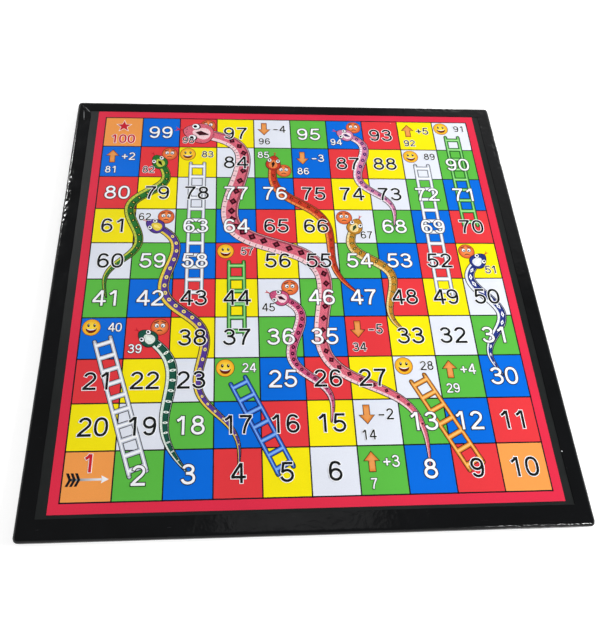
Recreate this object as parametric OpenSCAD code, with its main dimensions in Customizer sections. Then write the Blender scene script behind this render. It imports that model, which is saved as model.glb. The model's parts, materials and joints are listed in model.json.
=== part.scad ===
// Snakes and ladders board.
// A rigid panel carries a printed sheet on its face and a plain sheet underneath.
// Four strips of gloss tape bind the edges, lap both sheets and meet in mitres at the corners.
// The print is built up as thin colours: border and squares first, then ladders and snakes.
// X runs along the near edge, Y away from the player, Z up from the table.

/* [Grid] */
// Side of one printed square
square_side = 35; // [25:0.5:50]
// Width of the dark line left between two squares
line_width = 0.6; // [0.2:0.1:2]
// Width of the red border round the grid
border_width = 7.5; // [3:0.5:15]

/* [Sheets] */
// Black margin left of the border
margin_left = 7.5; // [1:0.5:20]
// Black margin right of the border
margin_right = 6; // [1:0.5:20]
// Black margin on the player's side of the border
margin_near = 2.5; // [0.5:0.5:20]
// Black margin beyond the border
margin_far = 0.5; // [0.5:0.5:20]
// Thickness of the printed sheet with its gloss film
sheet_thickness = 0.3; // [0.1:0.05:1]
// Thickness of the plain sheet on the underside
backing_thickness = 0.3; // [0.1:0.05:1]
// Thickness of one printed colour
ink_thickness = 0.1; // [0.05:0.05:0.2]

/* [Panel] */
// Thickness of the panel between the sheets
panel_thickness = 9; // [7:0.5:18]
// Rounding of the edges, over the tape
edge_radius = 3; // [2:0.25:3.5]
// Radius of the flat face's corners, inside the rounded edges
face_corner_radius = 1; // [0.5:0.25:4]

/* [Binding] */
// Thickness of the binding tape
tape_thickness = 0.4; // [0.2:0.05:0.8]
// Width of the near strip on the face of the board
face_near = 15; // [9:0.5:20]
// Width of the far strip on the face
face_far = 12; // [9:0.5:20]
// Width of the left strip on the face
face_left = 13.5; // [9:0.5:20]
// Width of the right strip on the face
face_right = 13; // [9:0.5:20]
// Width of every strip turned under the board
turn_in_width = 14; // [9:0.5:25]
// Set-back of both sheets from the rounded edge
sheet_setback = 1; // [0.5:0.25:2]

/* [Ladders] */
// Width of a ladder over its rails
ladder_width = 15; // [10:0.5:20]
// Width of one rail
rail_width = 2.6; // [1.5:0.1:4]
// Width of one rung
rung_width = 3.4; // [1.5:0.1:4]
// Distance between two rungs, at most
rung_pitch = 12.5; // [8:0.5:20]
// Length of rail past the outer rungs
rail_end = 5; // [3:0.5:8]

/* [Snakes] */
// Width of the long snake's body
long_body_width = 15; // [10:0.5:20]
// Width of the other snakes' bodies
body_width = 8.5; // [6:0.5:11]
// Swing of the long snake to each side
long_swing = 26; // [10:1:30]
// Swing of the other snakes to each side
swing = 12; // [6:0.5:14]

/* [Hidden] */

// Overrun of every cut past the solid it cuts
overrun = 2;
$fn = 48;

// Squares along each side, and the number of the last square
row_count = 10;
last_square = row_count * row_count;

// Overall sizes
grid_side = row_count * square_side;
border_side = grid_side + 2 * border_width;
board_w = border_side + margin_left + margin_right + face_left + face_right;
board_d = border_side + margin_near + margin_far + face_near + face_far;
board_t = panel_thickness + sheet_thickness + backing_thickness + 2 * tape_thickness;

// Rounding of the four corners seen from above
corner_radius = edge_radius + face_corner_radius;

// Depth of the wrapped edge, measured inwards from the outer skin
wrap_depth = edge_radius + face_corner_radius / 2;

// Centre of the grid: the margins and the strips differ, so it lies a little off the centre of the board
grid_x = (margin_left + face_left - margin_right - face_right) / 2;
grid_y = (margin_near + face_near - margin_far - face_far) / 2;

// Heights of the layers
backing_z = tape_thickness;
panel_z = backing_z + backing_thickness;
sheet_z = panel_z + panel_thickness;
print_z = sheet_z + sheet_thickness;
figure_z = print_z + ink_thickness;

// Both sheets end just inside the rounded edge, under the tape
sheet_w = board_w - 2 * (edge_radius + sheet_setback);
sheet_d = board_d - 2 * (edge_radius + sheet_setback);

// The colours of the squares repeat along the diagonals in this order; the corner squares are orange
colour_cycle = ["yellow", "white", "green", "blue", "red"];
orange_squares = [1, row_count, last_square];

// The numbers run to and fro: even rows left to right, odd rows right to left, upwards from the near left corner
function row_of(n) = floor((n - 1) / row_count);
function step_of(n) = (n - 1) % row_count;
function column_of(n) = row_of(n) % 2 == 0 ? step_of(n) : row_count - 1 - step_of(n);
function place(i) = (i + 1 / 2) * square_side - grid_side / 2;
function square_centre(n) = [grid_x + place(column_of(n)), grid_y + place(row_of(n))];
function square_colour(n) =
    len(search(n, orange_squares)) > 0 ? "orange"
    : colour_cycle[(column_of(n) - row_of(n) + 1 + last_square) % len(colour_cycle)];

// Foot and top square of each ladder
white_ladders = [[2, 40], [43, 83], [49, 89]];
green_ladders = [[37, 57], [70, 91]];
blue_ladders = [[5, 24]];
orange_ladders = [[9, 28]];

// Head square, tail square, waves between them, swing and body width of each snake.
// A snake lies over those after it in the list, and over every ladder.
snakes = [
    [98, 8, 2.5, long_swing, long_body_width],
    [62, 4, 2.5, swing, body_width],
    [82, 41, 2, swing, body_width],
    [85, 47, 1.5, -swing, body_width],
    [51, 30, 1.5, -swing, body_width],
    [39, 3, 1, swing, body_width],
    [45, 15, 1.5, swing, body_width],
    [94, 68, 1.5, swing, body_width],
    [67, 33, 1.5, -swing, body_width]
];

// Shape of a snake, from the head (share 0) to the tip of the tail (share 1)
neck_share = 0.72;
neck_end_share = 0.25;
swing_loss_share = 0.45;
taper_power = 2.4;
taper_round = 0.8;
head_length_share = 1.9;
head_width_share = 1.5;
snout_share = 0.55;
steps_per_wave = 20;
head_steps = 24;

// Binding tape

// Section across a bound edge, out to the given offset from the outer skin: x inwards, y up
module edge_section(inset, reach) {
    round_radius = edge_radius - inset;
    translate([edge_radius, inset]) square([reach - edge_radius, board_t - 2 * inset]);
    translate([inset, edge_radius]) square([round_radius, board_t - 2 * edge_radius]);
    for (level = [edge_radius, board_t - edge_radius])
        translate([edge_radius, level]) circle(r = round_radius);
}

// Section of the tape alone: face, wrapped edge and turn-in
module tape_section(face, turn_in) {
    longest = max(face, turn_in);
    difference() {
        edge_section(0, longest);
        edge_section(tape_thickness, longest + overrun);
        translate([face, board_t / 2]) square([longest + overrun, board_t]);
        translate([turn_in, -board_t / 2]) square([longest + overrun, board_t]);
    }
}

// The rounded part of the section: the wrapped edge, cut off where both faces run flat
module wrap_section() {
    intersection() {
        tape_section(corner_radius, corner_radius);
        square([wrap_depth, board_t]);
    }
}

// Half a rounded corner: the wrapped edge turned through 45 degrees about the corner's own axis
module half_corner() {
    rotate([0, 0, -90]) rotate_extrude(angle = 45) translate([corner_radius, 0]) mirror([1, 0]) wrap_section();
}

// Plan of a flat leg of the strip, from the wrapped edge to the given width, with mitred ends
module leg_plan(straight, width) {
    reach = straight / 2;
    shrink = width - corner_radius;
    polygon([
        [-reach, wrap_depth], [reach, wrap_depth], [reach, corner_radius],
        [reach - shrink, width], [shrink - reach, width], [-reach, corner_radius]
    ]);
    for (side = [0, 1]) mirror([side, 0]) translate([reach, corner_radius]) intersection() {
        circle(r = corner_radius - wrap_depth);
        polygon([[0, 0], [0, -corner_radius], [corner_radius, -corner_radius]]);
    }
}

// One strip of the given outer length and width on the face, lying along X with its outer skin on y = 0
module binding_strip(length, face) {
    straight = length - 2 * corner_radius;
    translate([-straight / 2, 0, 0]) rotate([90, 0, 90]) linear_extrude(straight) wrap_section();
    for (side = [0, 1]) mirror([side, 0, 0]) translate([straight / 2, corner_radius, 0]) half_corner();
    linear_extrude(tape_thickness) leg_plan(straight, turn_in_width);
    translate([0, 0, board_t - tape_thickness]) linear_extrude(tape_thickness) leg_plan(straight, face);
}

module binding_near() {
    color("#15171a") translate([0, -board_d / 2, 0]) binding_strip(board_w, face_near);
}

module binding_far() {
    color("#15171a") rotate([0, 0, 180]) translate([0, -board_d / 2, 0]) binding_strip(board_w, face_far);
}

module binding_left() {
    color("#15171a") rotate([0, 0, -90]) translate([0, -board_w / 2, 0]) binding_strip(board_d, face_left);
}

module binding_right() {
    color("#15171a") rotate([0, 0, 90]) translate([0, -board_w / 2, 0]) binding_strip(board_d, face_right);
}

// Panel and sheets

// Section of the panel's edge, kept between the two sheets
module panel_section() {
    intersection() {
        edge_section(tape_thickness, corner_radius);
        translate([0, panel_z]) square([corner_radius, panel_thickness]);
    }
}

// The panel: a flat middle, four rounded edges and four turned corners
module core_panel() {
    middle_w = board_w - 2 * corner_radius;
    middle_d = board_d - 2 * corner_radius;
    color("#b58a5a") {
        translate([-middle_w / 2, -middle_d / 2, panel_z]) cube([middle_w, middle_d, panel_thickness]);
        for (turn = [0, 180]) rotate([0, 0, turn]) translate([-middle_w / 2, -board_d / 2, 0])
            rotate([90, 0, 90]) linear_extrude(middle_w) panel_section();
        for (turn = [90, -90]) rotate([0, 0, turn]) translate([-middle_d / 2, -board_w / 2, 0])
            rotate([90, 0, 90]) linear_extrude(middle_d) panel_section();
        for (x = [0, 1], y = [0, 1]) mirror([x, 0, 0]) mirror([0, y, 0])
            translate([middle_w / 2, middle_d / 2, 0]) rotate_extrude(angle = 90) intersection() {
                translate([corner_radius, 0]) mirror([1, 0]) panel_section();
                square([corner_radius, board_t]);
            }
    }
}

module flat_sheet(width, depth, thickness, level) {
    translate([-width / 2, -depth / 2, level]) cube([width, depth, thickness]);
}

module print_sheet() {
    color("#2b2e31") flat_sheet(sheet_w, sheet_d, sheet_thickness, sheet_z);
}

module backing_sheet() {
    color("#3a3128") flat_sheet(sheet_w, sheet_d, backing_thickness, backing_z);
}

// First colours of the print: border and squares

module border_red() {
    inner_side = grid_side + line_width;
    color("#e0344c") translate([grid_x, grid_y, 0]) difference() {
        flat_sheet(border_side, border_side, ink_thickness, print_z);
        flat_sheet(inner_side, inner_side, ink_thickness + 2 * overrun, print_z - overrun);
    }
}

module squares_of(colour) {
    tile = square_side - line_width;
    for (n = [1 : last_square]) if (square_colour(n) == colour)
        translate(square_centre(n)) flat_sheet(tile, tile, ink_thickness, print_z);
}

module squares_yellow() { color("#f7e600") squares_of("yellow"); }
module squares_white() { color("#e9ecf6") squares_of("white"); }
module squares_green() { color("#58ae42") squares_of("green"); }
module squares_blue() { color("#0a66d0") squares_of("blue"); }
module squares_red() { color("#e0323f") squares_of("red"); }
module squares_orange() { color("#efa33e") squares_of("orange"); }

// Ladders: two rails and as many rungs as the length between two squares takes

module ladder(foot_square, top_square) {
    foot = square_centre(foot_square);
    run = square_centre(top_square) - foot;
    length = norm(run);
    rung_count = ceil((length - 2 * rail_end) / rung_pitch) + 1;
    rung_step = (length - 2 * rail_end) / (rung_count - 1);
    translate([foot.x, foot.y, figure_z]) rotate([0, 0, atan2(run.y, run.x)]) linear_extrude(ink_thickness) {
        for (side = [-1, 1]) translate([0, side * (ladder_width - rail_width) / 2 - rail_width / 2])
            square([length, rail_width]);
        for (i = [0 : rung_count - 1]) translate([rail_end + i * rung_step - rung_width / 2, -ladder_width / 2])
            square([rung_width, ladder_width]);
    }
}

// Ladders of one colour, left bare where a snake lies over them
module printed_ladders(rows) {
    difference() {
        for (row = rows) ladder(row[0], row[1]);
        for (i = [0 : len(snakes) - 1]) knock_out(i);
    }
}

module ladders_white() { color("#f4f5fa") printed_ladders(white_ladders); }
module ladders_green() { color("#2f8f3a") printed_ladders(green_ladders); }
module ladder_blue() { color("#2a5fd0") printed_ladders(blue_ladders); }
module ladder_orange() { color("#e5902a") printed_ladders(orange_ladders); }

// Snakes: a wave from the head's square to the tail's, with a body that swells and tapers along it

function along(start, run, waves, reach, share) =
    start + run * share
    + [-run.y, run.x] / norm(run) * reach * sin(360 * waves * share) * (1 - swing_loss_share * share);

function half_body(width, share) =
    width / 2 * (neck_share + (1 - neck_share) * min(1, share / neck_end_share))
    * pow(1 - pow(share, taper_power), taper_round);

function across(line, i) = let(way = line[min(i + 1, len(line) - 1)] - line[max(i - 1, 0)])
    [-way.y, way.x] / norm(way);

// Blunt egg for the head, with its narrow end forwards
function head_outline(length, width) = [
    for (i = [0 : head_steps - 1]) let(a = 360 * i / head_steps, lean = 1 - snout_share / 2 * cos(a))
        [length / 2 * cos(a), width / 2 * sin(a) * lean]
];

module snake_outline(head_square, tail_square, waves, reach, width) {
    start = square_centre(head_square);
    run = square_centre(tail_square) - start;
    steps = ceil(waves * steps_per_wave);
    line = [for (i = [0 : steps]) along(start, run, waves, reach, i / steps)];
    right = [for (i = [0 : steps]) line[i] - across(line, i) * half_body(width, i / steps)];
    left = [for (i = [steps - 1 : -1 : 0]) line[i] + across(line, i) * half_body(width, i / steps)];
    facing = start - line[1];
    polygon(concat(right, left));
    translate(start) rotate(atan2(facing.y, facing.x))
        polygon(head_outline(head_length_share * width, head_width_share * width));
}

module snake_layer(i, level, thickness) {
    row = snakes[i];
    translate([0, 0, level]) linear_extrude(thickness) snake_outline(row[0], row[1], row[2], row[3], row[4]);
}

// Space that a snake takes from the colours it lies over
module knock_out(i) {
    snake_layer(i, figure_z - overrun, ink_thickness + 2 * overrun);
}

module printed_snake(i) {
    difference() {
        snake_layer(i, figure_z, ink_thickness);
        for (over = [0 : 1 : i - 1]) knock_out(over);
    }
}

module snake_long_pink() { color("#e88f9c") printed_snake(0); }
module snake_purple() { color("#5b3f9e") printed_snake(1); }
module snake_green() { color("#2c7a34") printed_snake(2); }
module snake_red() { color("#d2452f") printed_snake(3); }
module snake_navy() { color("#26337d") printed_snake(4); }
module snake_teal() { color("#1f5a48") printed_snake(5); }
module snake_rose() { color("#d9789a") printed_snake(6); }
module snake_lilac() { color("#e6a9bd") printed_snake(7); }
module snake_amber() { color("#d9a13c") printed_snake(8); }

core_panel();
print_sheet();
backing_sheet();
binding_near();
binding_far();
binding_left();
binding_right();
border_red();
squares_yellow();
squares_white();
squares_green();
squares_blue();
squares_red();
squares_orange();
ladders_white();
ladders_green();
ladder_blue();
ladder_orange();
snake_long_pink();
snake_purple();
snake_green();
snake_red();
snake_navy();
snake_teal();
snake_rose();
snake_lilac();
snake_amber();
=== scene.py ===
"""Looks of a snakes and ladders board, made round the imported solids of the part.

The print is laid in thin closed layers on the board's face, in the order a printer lays them:
squares and border, lines, ladders, snakes, signs, numerals. Gloss tape binds the four edges.
Lengths are in metres, in the frame of the solids: X along the near edge, Y away from the player, Z up.
"""

import json
import math

import bmesh
import bpy
import numpy as np
from bpy.props import FloatProperty, FloatVectorProperty, IntProperty, PointerProperty
from mathutils import Matrix, Vector, noise

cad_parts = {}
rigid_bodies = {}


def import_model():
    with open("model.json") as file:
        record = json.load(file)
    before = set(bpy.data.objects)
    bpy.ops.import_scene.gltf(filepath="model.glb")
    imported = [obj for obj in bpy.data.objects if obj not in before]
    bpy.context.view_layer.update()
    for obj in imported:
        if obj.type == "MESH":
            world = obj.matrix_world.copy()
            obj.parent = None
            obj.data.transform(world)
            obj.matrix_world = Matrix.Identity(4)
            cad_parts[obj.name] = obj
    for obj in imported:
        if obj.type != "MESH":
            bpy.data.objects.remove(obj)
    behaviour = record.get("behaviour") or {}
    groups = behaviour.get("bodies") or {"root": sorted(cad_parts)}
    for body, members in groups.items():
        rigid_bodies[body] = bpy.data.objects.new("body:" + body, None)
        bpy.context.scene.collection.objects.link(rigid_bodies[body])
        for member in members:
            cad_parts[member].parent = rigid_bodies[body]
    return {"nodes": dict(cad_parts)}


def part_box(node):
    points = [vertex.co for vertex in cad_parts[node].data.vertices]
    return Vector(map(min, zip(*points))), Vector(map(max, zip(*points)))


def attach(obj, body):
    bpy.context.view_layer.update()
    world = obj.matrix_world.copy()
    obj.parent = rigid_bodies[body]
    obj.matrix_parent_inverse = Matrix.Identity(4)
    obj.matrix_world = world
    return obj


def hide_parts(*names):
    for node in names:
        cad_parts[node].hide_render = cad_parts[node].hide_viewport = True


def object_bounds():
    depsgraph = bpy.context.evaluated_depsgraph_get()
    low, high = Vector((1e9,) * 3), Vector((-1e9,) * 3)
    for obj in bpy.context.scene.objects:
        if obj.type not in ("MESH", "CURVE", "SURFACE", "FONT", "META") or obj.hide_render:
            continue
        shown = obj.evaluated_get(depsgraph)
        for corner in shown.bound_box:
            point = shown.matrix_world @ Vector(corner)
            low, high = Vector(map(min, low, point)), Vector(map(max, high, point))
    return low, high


bl_info = {
    "name": "Snakes and ladders board",
    "version": (1, 0, 0),
    "blender": (4, 5, 0),
    "location": "View3D > Sidebar > Board",
    "description": "Print, tape binding and studio for a snakes and ladders board",
    "category": "Object",
}

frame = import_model()
CAD_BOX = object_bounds()
MM = 0.001
TURN = 2 * math.pi
BORDER_LOW, BORDER_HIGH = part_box("border_red")
FACE = BORDER_HIGH.z
GRID_X = (BORDER_LOW.x + BORDER_HIGH.x) / 2
GRID_Y = (BORDER_LOW.y + BORDER_HIGH.y) / 2
ROWS = 10

# Tops of the printed layers above the squares, and how far a layer sinks into the one below
LINE_TOP = 0.012 * MM
LADDER_RIM, LADDER_BODY, LADDER_LIGHT = 0.03 * MM, 0.05 * MM, 0.07 * MM
SNAKE_RIM, SNAKE_BODY, SNAKE_BACK = 0.09 * MM, 0.11 * MM, 0.13 * MM
SNAKE_SHADE, SNAKE_MARK, SNAKE_CORE = 0.14 * MM, 0.15 * MM, 0.17 * MM
SIGN_RIM, SIGN_BODY, SIGN_MARK = 0.04 * MM, 0.07 * MM, 0.10 * MM
DIGIT_RIM, DIGIT_BODY = 0.20 * MM, 0.23 * MM
FINE_STEP = 0.02 * MM
SINK = 0.005 * MM

# By node: inks of the shaded and the lit side, then the foot and top square of each ladder
LADDERS = {
    "ladders_white": ("C9CFDC", "F8F9FD", [(2, 40), (43, 83), (49, 89)]),
    "ladders_green": ("3F9A3E", "9ADB8A", [(37, 57), (70, 91)]),
    "ladder_blue": ("2C5FC8", "7FB0F2", [(5, 24)]),
    "ladder_orange": ("D9822A", "F8C06A", [(9, 28)]),
}
TIP_SIDES, LIT_INSET = 22, 1.5

# By node: head and tail square, waves, side of the first bend; then the marks along the back, as corners of a mark,
# marks to each wave, and a mark's length and width as shares of half the body;
# then the inks of the body, the back, a mark and a mark's middle
SNAKES = {
    "snake_long_pink": (98, 8, 2.5, 1, (4, 15, 0.60, 0.74), ("FAD3D9", "E46E83", "3A0C18", "8E2A42")),
    "snake_purple": (62, 4, 2.5, 1, (16, 11, 0.50, 0.56), ("F0D24A", "5B3F9E", "F6E27A", "3A2670")),
    "snake_green": (82, 41, 2, 1, (4, 10, 0.46, 0.92), ("C9D24E", "2C7A34", "16240F", "E8DC5A")),
    "snake_red": (85, 47, 1.5, -1, (3, 12, 0.70, 0.62), ("F0894A", "CF3F2A", "2A1410", "E8642F")),
    "snake_navy": (51, 30, 1.5, -1, (4, 9, 0.90, 0.56), ("E9EDF6", "2B3A8C", "F2F4FA", "16205A")),
    "snake_teal": (39, 3, 1, 1, (16, 13, 0.30, 0.94), ("E4EFE6", "1F5A48", "EAF3EC", "123A2E")),
    "snake_rose": (45, 15, 1.5, 1, (16, 13, 0.50, 0.56), ("FADBE4", "D75A86", "3C0A20", "C04C78")),
    "snake_lilac": (94, 68, 1.5, 1, (6, 11, 0.60, 0.66), ("FAE6EE", "DD88B0", "3C1A5E", "C77FB0")),
    "snake_amber": (67, 33, 1.5, -1, (4, 11, 0.40, 0.90), ("F3DC97", "CE9030", "24452C", "E9C25A")),
}
LONG_SNAKE = "snake_long_pink"

# Shape of a snake, as in the solids: shares of its run and of its body's width
NECK, NECK_END, SWING_LOSS, TAPER, TAPER_ROUND = 0.72, 0.25, 0.45, 2.4, 0.8
HEAD_LENGTH, HEAD_WIDTH, SNOUT = 1.9, 1.5, 0.55
STEPS_TO_A_WAVE = 48
MARKS_FROM, MARKS_TO = 0.055, 0.93
MARK_LONG, CORE_LONG, CORE_WIDE = 0.9, 0.32, 0.36

# The coloured back covers this share of a body and lies this far to one side; the belly's plates show beside it
BACK_SHARE, BACK_ASIDE, PLATES, PLATE_LINE = 0.68, 0.24, 2.0, 0.05
SHADE_SHARE, SHADE_ASIDE, SHADE_TONE = 0.14, 0.80, 0.5

# Squares with an arrow and a count of steps, forwards or back
STEPS = {7: 3, 14: -2, 29: 4, 34: -5, 81: 2, 86: -3, 92: 5, 96: -4}
ORANGE_SQUARES = (1, 10, 100)
PALE_ON_RED = (39, 80)
DARK_ON_BLUE = (17,)
CYCLE = ("yellow", "white", "green", "blue", "red")


def linear(text):
    """Linear colour from a six figure sRGB value."""
    parts = [int(text[i : i + 2], 16) / 255 for i in (0, 2, 4)]
    return tuple(c / 12.92 if c <= 0.04045 else ((c + 0.055) / 1.055) ** 2.4 for c in parts)


def tint(name, use, text):
    settings = {"subtype": "COLOR", "size": 3, "min": 0, "max": 1}
    return FloatVectorProperty(name=name, description=use, default=linear(text), **settings)


def length(name, use, value, low=0.0):
    settings = {"unit": "LENGTH", "subtype": "DISTANCE", "precision": 5}
    return FloatProperty(name=name, description=use, default=value, min=low, **settings)


class BOARD_PG_sizes(bpy.types.PropertyGroup):
    """Sizes of the print and of the binding"""

    square_side: length("Square", "Side of one printed square", 35 * MM)
    line_width: length("Line", "Width of the dark lines round the squares", 1.0 * MM)
    numeral_height: length("Numeral", "Height of a numeral", 13.9 * MM)
    numeral_stretch: FloatProperty(name="Stretch", description="Breadth of a full-size numeral", default=1.1)
    small_height: length("Small numeral", "Height of a numeral that shares its square", 7.4 * MM)
    pale_rim: length("Pale rim", "Width of the pale rim round a dark numeral", 0.55 * MM)
    dark_rim: length("Dark rim", "Width of the dark rim round a pale numeral", 0.60 * MM)
    disc_diameter: length("Disc", "Diameter of a face disc", 14.5 * MM)
    ladder_width: length("Ladder", "Width of a ladder over its rails", 15 * MM)
    rail_width: length("Rail", "Width of one rail", 2.6 * MM)
    rung_width: length("Rung", "Width of one rung", 3.4 * MM)
    rung_pitch: length("Rung pitch", "Distance between two rungs, at most", 12.5 * MM)
    rail_end: length("Rail end", "Length of rail past the outer rungs", 5 * MM)
    outline: length("Outline", "Width of the dark line round ladders and snakes", 0.58 * MM)
    long_body: length("Long body", "Width of the long snake's body", 15 * MM)
    body: length("Body", "Width of the other snakes' bodies", 8.5 * MM)
    long_swing: length("Long swing", "Swing of the long snake to each side", 26 * MM)
    swing: length("Swing", "Swing of the other snakes to each side", 12 * MM)
    edge_radius: length("Edge radius", "Rounding of the bound edges", 3 * MM)
    corner_radius: length("Corner radius", "Rounding of the corners from above", 4 * MM)
    tape_thickness: length("Tape", "Thickness of the binding tape", 0.4 * MM)
    face_near: length("Near tape", "Width of the near strip on the face", 15 * MM)
    face_far: length("Far tape", "Width of the far strip on the face", 12 * MM)
    face_left: length("Left tape", "Width of the left strip on the face", 13.5 * MM)
    face_right: length("Right tape", "Width of the right strip on the face", 13 * MM)
    turn_in: length("Tape turn-in", "Width of the tape under the board", 14 * MM)
    wave_depth: length("Tape waves", "Depth of the waves in the tape", 0.16 * MM)
    tape_step: length("Tape step", "Length of one facet along the tape", 1.1 * MM, 0.5 * MM)
    seed: IntProperty(name="Seed", description="Seed of the waves in the tape", default=4)


class BOARD_PG_inks(bpy.types.PropertyGroup):
    """Colours of the print, tape and sheets"""

    border: tint("Border", "Ink of the border", "DF2F4A")
    yellow: tint("Yellow", "Ink of the yellow squares", "F8E712")
    white: tint("White", "Ink of the white squares", "E3E7F2")
    green: tint("Green", "Ink of the green squares", "5CB946")
    blue: tint("Blue", "Ink of the blue squares", "086BDB")
    red: tint("Red", "Ink of the red squares", "E33B41")
    orange: tint("Orange", "Ink of the corner squares", "F39D50")
    black: tint("Black", "Ink of the margin and of dark numerals", "191B1B")
    paper: tint("Paper", "Pale ink of numerals and rims", "F6F7FB")
    crimson: tint("Crimson", "Ink of the first and last numeral", "C8202F")
    line: tint("Line", "Ink of the outlines", "1B1A20")
    tape: tint("Tape", "Vinyl of the binding", "07080A")
    backing: tint("Backing", "Paper under the board", "2E2A26")
    panel: tint("Panel", "Fibreboard of the panel", "A98155")
    happy: tint("Happy disc", "Ink of the discs at the tops of ladders", "FFE24A")
    sad: tint("Sad disc", "Ink of the discs at the heads of snakes", "FF9A56")
    mouth: tint("Mouth", "Ink of an open mouth", "6A1F12")
    arrow: tint("Arrow", "Ink of the arrows", "F6B26B")


# Darker inks at the rims of discs and arrows
HAPPY_RIM, SAD_RIM, ARROW_RIM = "F2A21E", "D2512A", "D9782A"


# Squares and figures


def row_of(n):
    return (n - 1) // ROWS


def column_of(n):
    step = (n - 1) % ROWS
    return step if row_of(n) % 2 == 0 else ROWS - 1 - step


def square_centre(n, side):
    shift = (1 - ROWS) / 2
    return Vector((GRID_X + (column_of(n) + shift) * side, GRID_Y + (row_of(n) + shift) * side, 0))


def square_ink(n):
    return "orange" if n in ORANGE_SQUARES else CYCLE[(column_of(n) - row_of(n) + 1) % len(CYCLE)]


def start_and_run(first, last, sizes):
    start = square_centre(first, sizes.square_side)
    return start, square_centre(last, sizes.square_side) - start


def width_and_swing(node, way, sizes):
    is_long = node == LONG_SNAKE
    return sizes.long_body if is_long else sizes.body, (sizes.long_swing if is_long else sizes.swing) * way


def slot_of(node):
    """Slot of a ladder's or snake's ink, named without the number of ladders or the snake's length."""
    return node.replace("ladders_", "ladder_").replace("long_", "")


# Nodes


def maths_sign(operation, is_swapped=False):
    """A method for one of Python's signs, which puts down a maths node."""

    def combine(self, other):
        return self.owner.math(operation, *((other, self) if is_swapped else (self, other)))

    return combine


class Field:
    """A node's output, which +, -, * and / combine with others by putting down a node."""

    def __init__(self, owner, socket):
        self.owner, self.socket = owner, socket

    __add__, __sub__ = maths_sign("ADD"), maths_sign("SUBTRACT")
    __mul__, __truediv__ = maths_sign("MULTIPLY"), maths_sign("DIVIDE")
    __rsub__ = maths_sign("SUBTRACT", True)


class Nodes:
    """A node group whose nodes are put down in the order that they are used."""

    def __init__(self, group):
        self.group = group

    def node(self, kind, inputs=None, **settings):
        made = self.group.nodes.new(kind)
        for key, value in settings.items():
            setattr(made, key, value)
        for key, value in (inputs or {}).items():
            self.feed(made.inputs[key], value)
        return made

    def put(self, kind, inputs=None, output=0, **settings):
        return Field(self, self.node(kind, inputs, **settings).outputs[output])

    def fields(self, kind, inputs=None):
        """All outputs of a node."""
        return [Field(self, socket) for socket in self.node(kind, inputs).outputs]

    def feed(self, socket, value):
        if isinstance(value, Field):
            self.group.links.new(value.socket, socket)
        else:
            socket.default_value = (*value, 1) if socket.type == "RGBA" else value

    def math(self, operation, *values):
        """A maths node for numbers or for vectors, by the kind of its first value."""
        first = values[0]
        is_vector = first.socket.type == "VECTOR" if isinstance(first, Field) else isinstance(first, tuple)
        if is_vector and operation == "MULTIPLY":
            return self.put("ShaderNodeVectorMath", {0: first, "Scale": values[1]}, operation="SCALE")
        kind = "ShaderNodeVectorMath" if is_vector else "ShaderNodeMath"
        output = "Vector" if is_vector and operation != "LENGTH" else "Value"
        return self.put(kind, dict(enumerate(values)), output, operation=operation)


# Materials

# Linear colours of dust and wear; the pale marks' colour is partly wear and partly painted highlight
INK_DUST, TAPE_DUST = (0.75, 0.76, 0.78), (0.72, 0.73, 0.76)
MARGIN_DUST, PAPER_DUST = (0.6, 0.61, 0.64), (0.30, 0.27, 0.23)
# The second colour here is for pale marks that are partly wear and partly painted highlights on creases
SCRATCH, WORN_AND_GLINT = (0.55, 0.56, 0.58), (0.62, 0.64, 0.66)

# Scales of the patterns, in repeats to a metre
BLOTCHES, DOT_GRAIN, SNAKE_SCALES, FILM_BUMPS, FILM_SHEEN = 16, 1900, 720.0, 260, 55
VINYL_CLOUDS, VINYL_SCRATCHES, VINYL_WAVES, VINYL_RIPPLES, VINYL_SHEEN, RAGGED = 24, 70, 90, 420, 60, 900
MARGIN_CLOUDS, MARGIN_BUMPS, MARGIN_SHEEN = 30, 900, 45
PAPER_FIBRES, PAPER_CLOUDS, PANEL_FIBRES = 420, 18, 650

# Specks of dust: repeats to a metre, radius as a share of a repeat, share of the repeats that have a speck
INK_SPECKS, TAPE_SPECKS = (130, 0.05), (95, 0.055, 0.07)
MARGIN_SPECKS, PAPER_SPECKS = (120, 0.06, 0.10), (160, 0.09, 0.12)

# Pale marks on the tape, partly wear and partly painted highlights on creases and a bump: place in millimetres, turn
# in degrees, length and breadth in millimetres, strength
SCUFFS_AND_GLINTS = (
    (185.7, 101.5, 74, 11, 1.2, 0.6),
    (-192.4, 186.8, -50, 10, 0.8, 0.4),
    (-195.2, 180.0, -84, 13, 1.2, 0.3),
    (189.8, -144.7, 0, 1.8, 1.3, 0.9),
)


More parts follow.
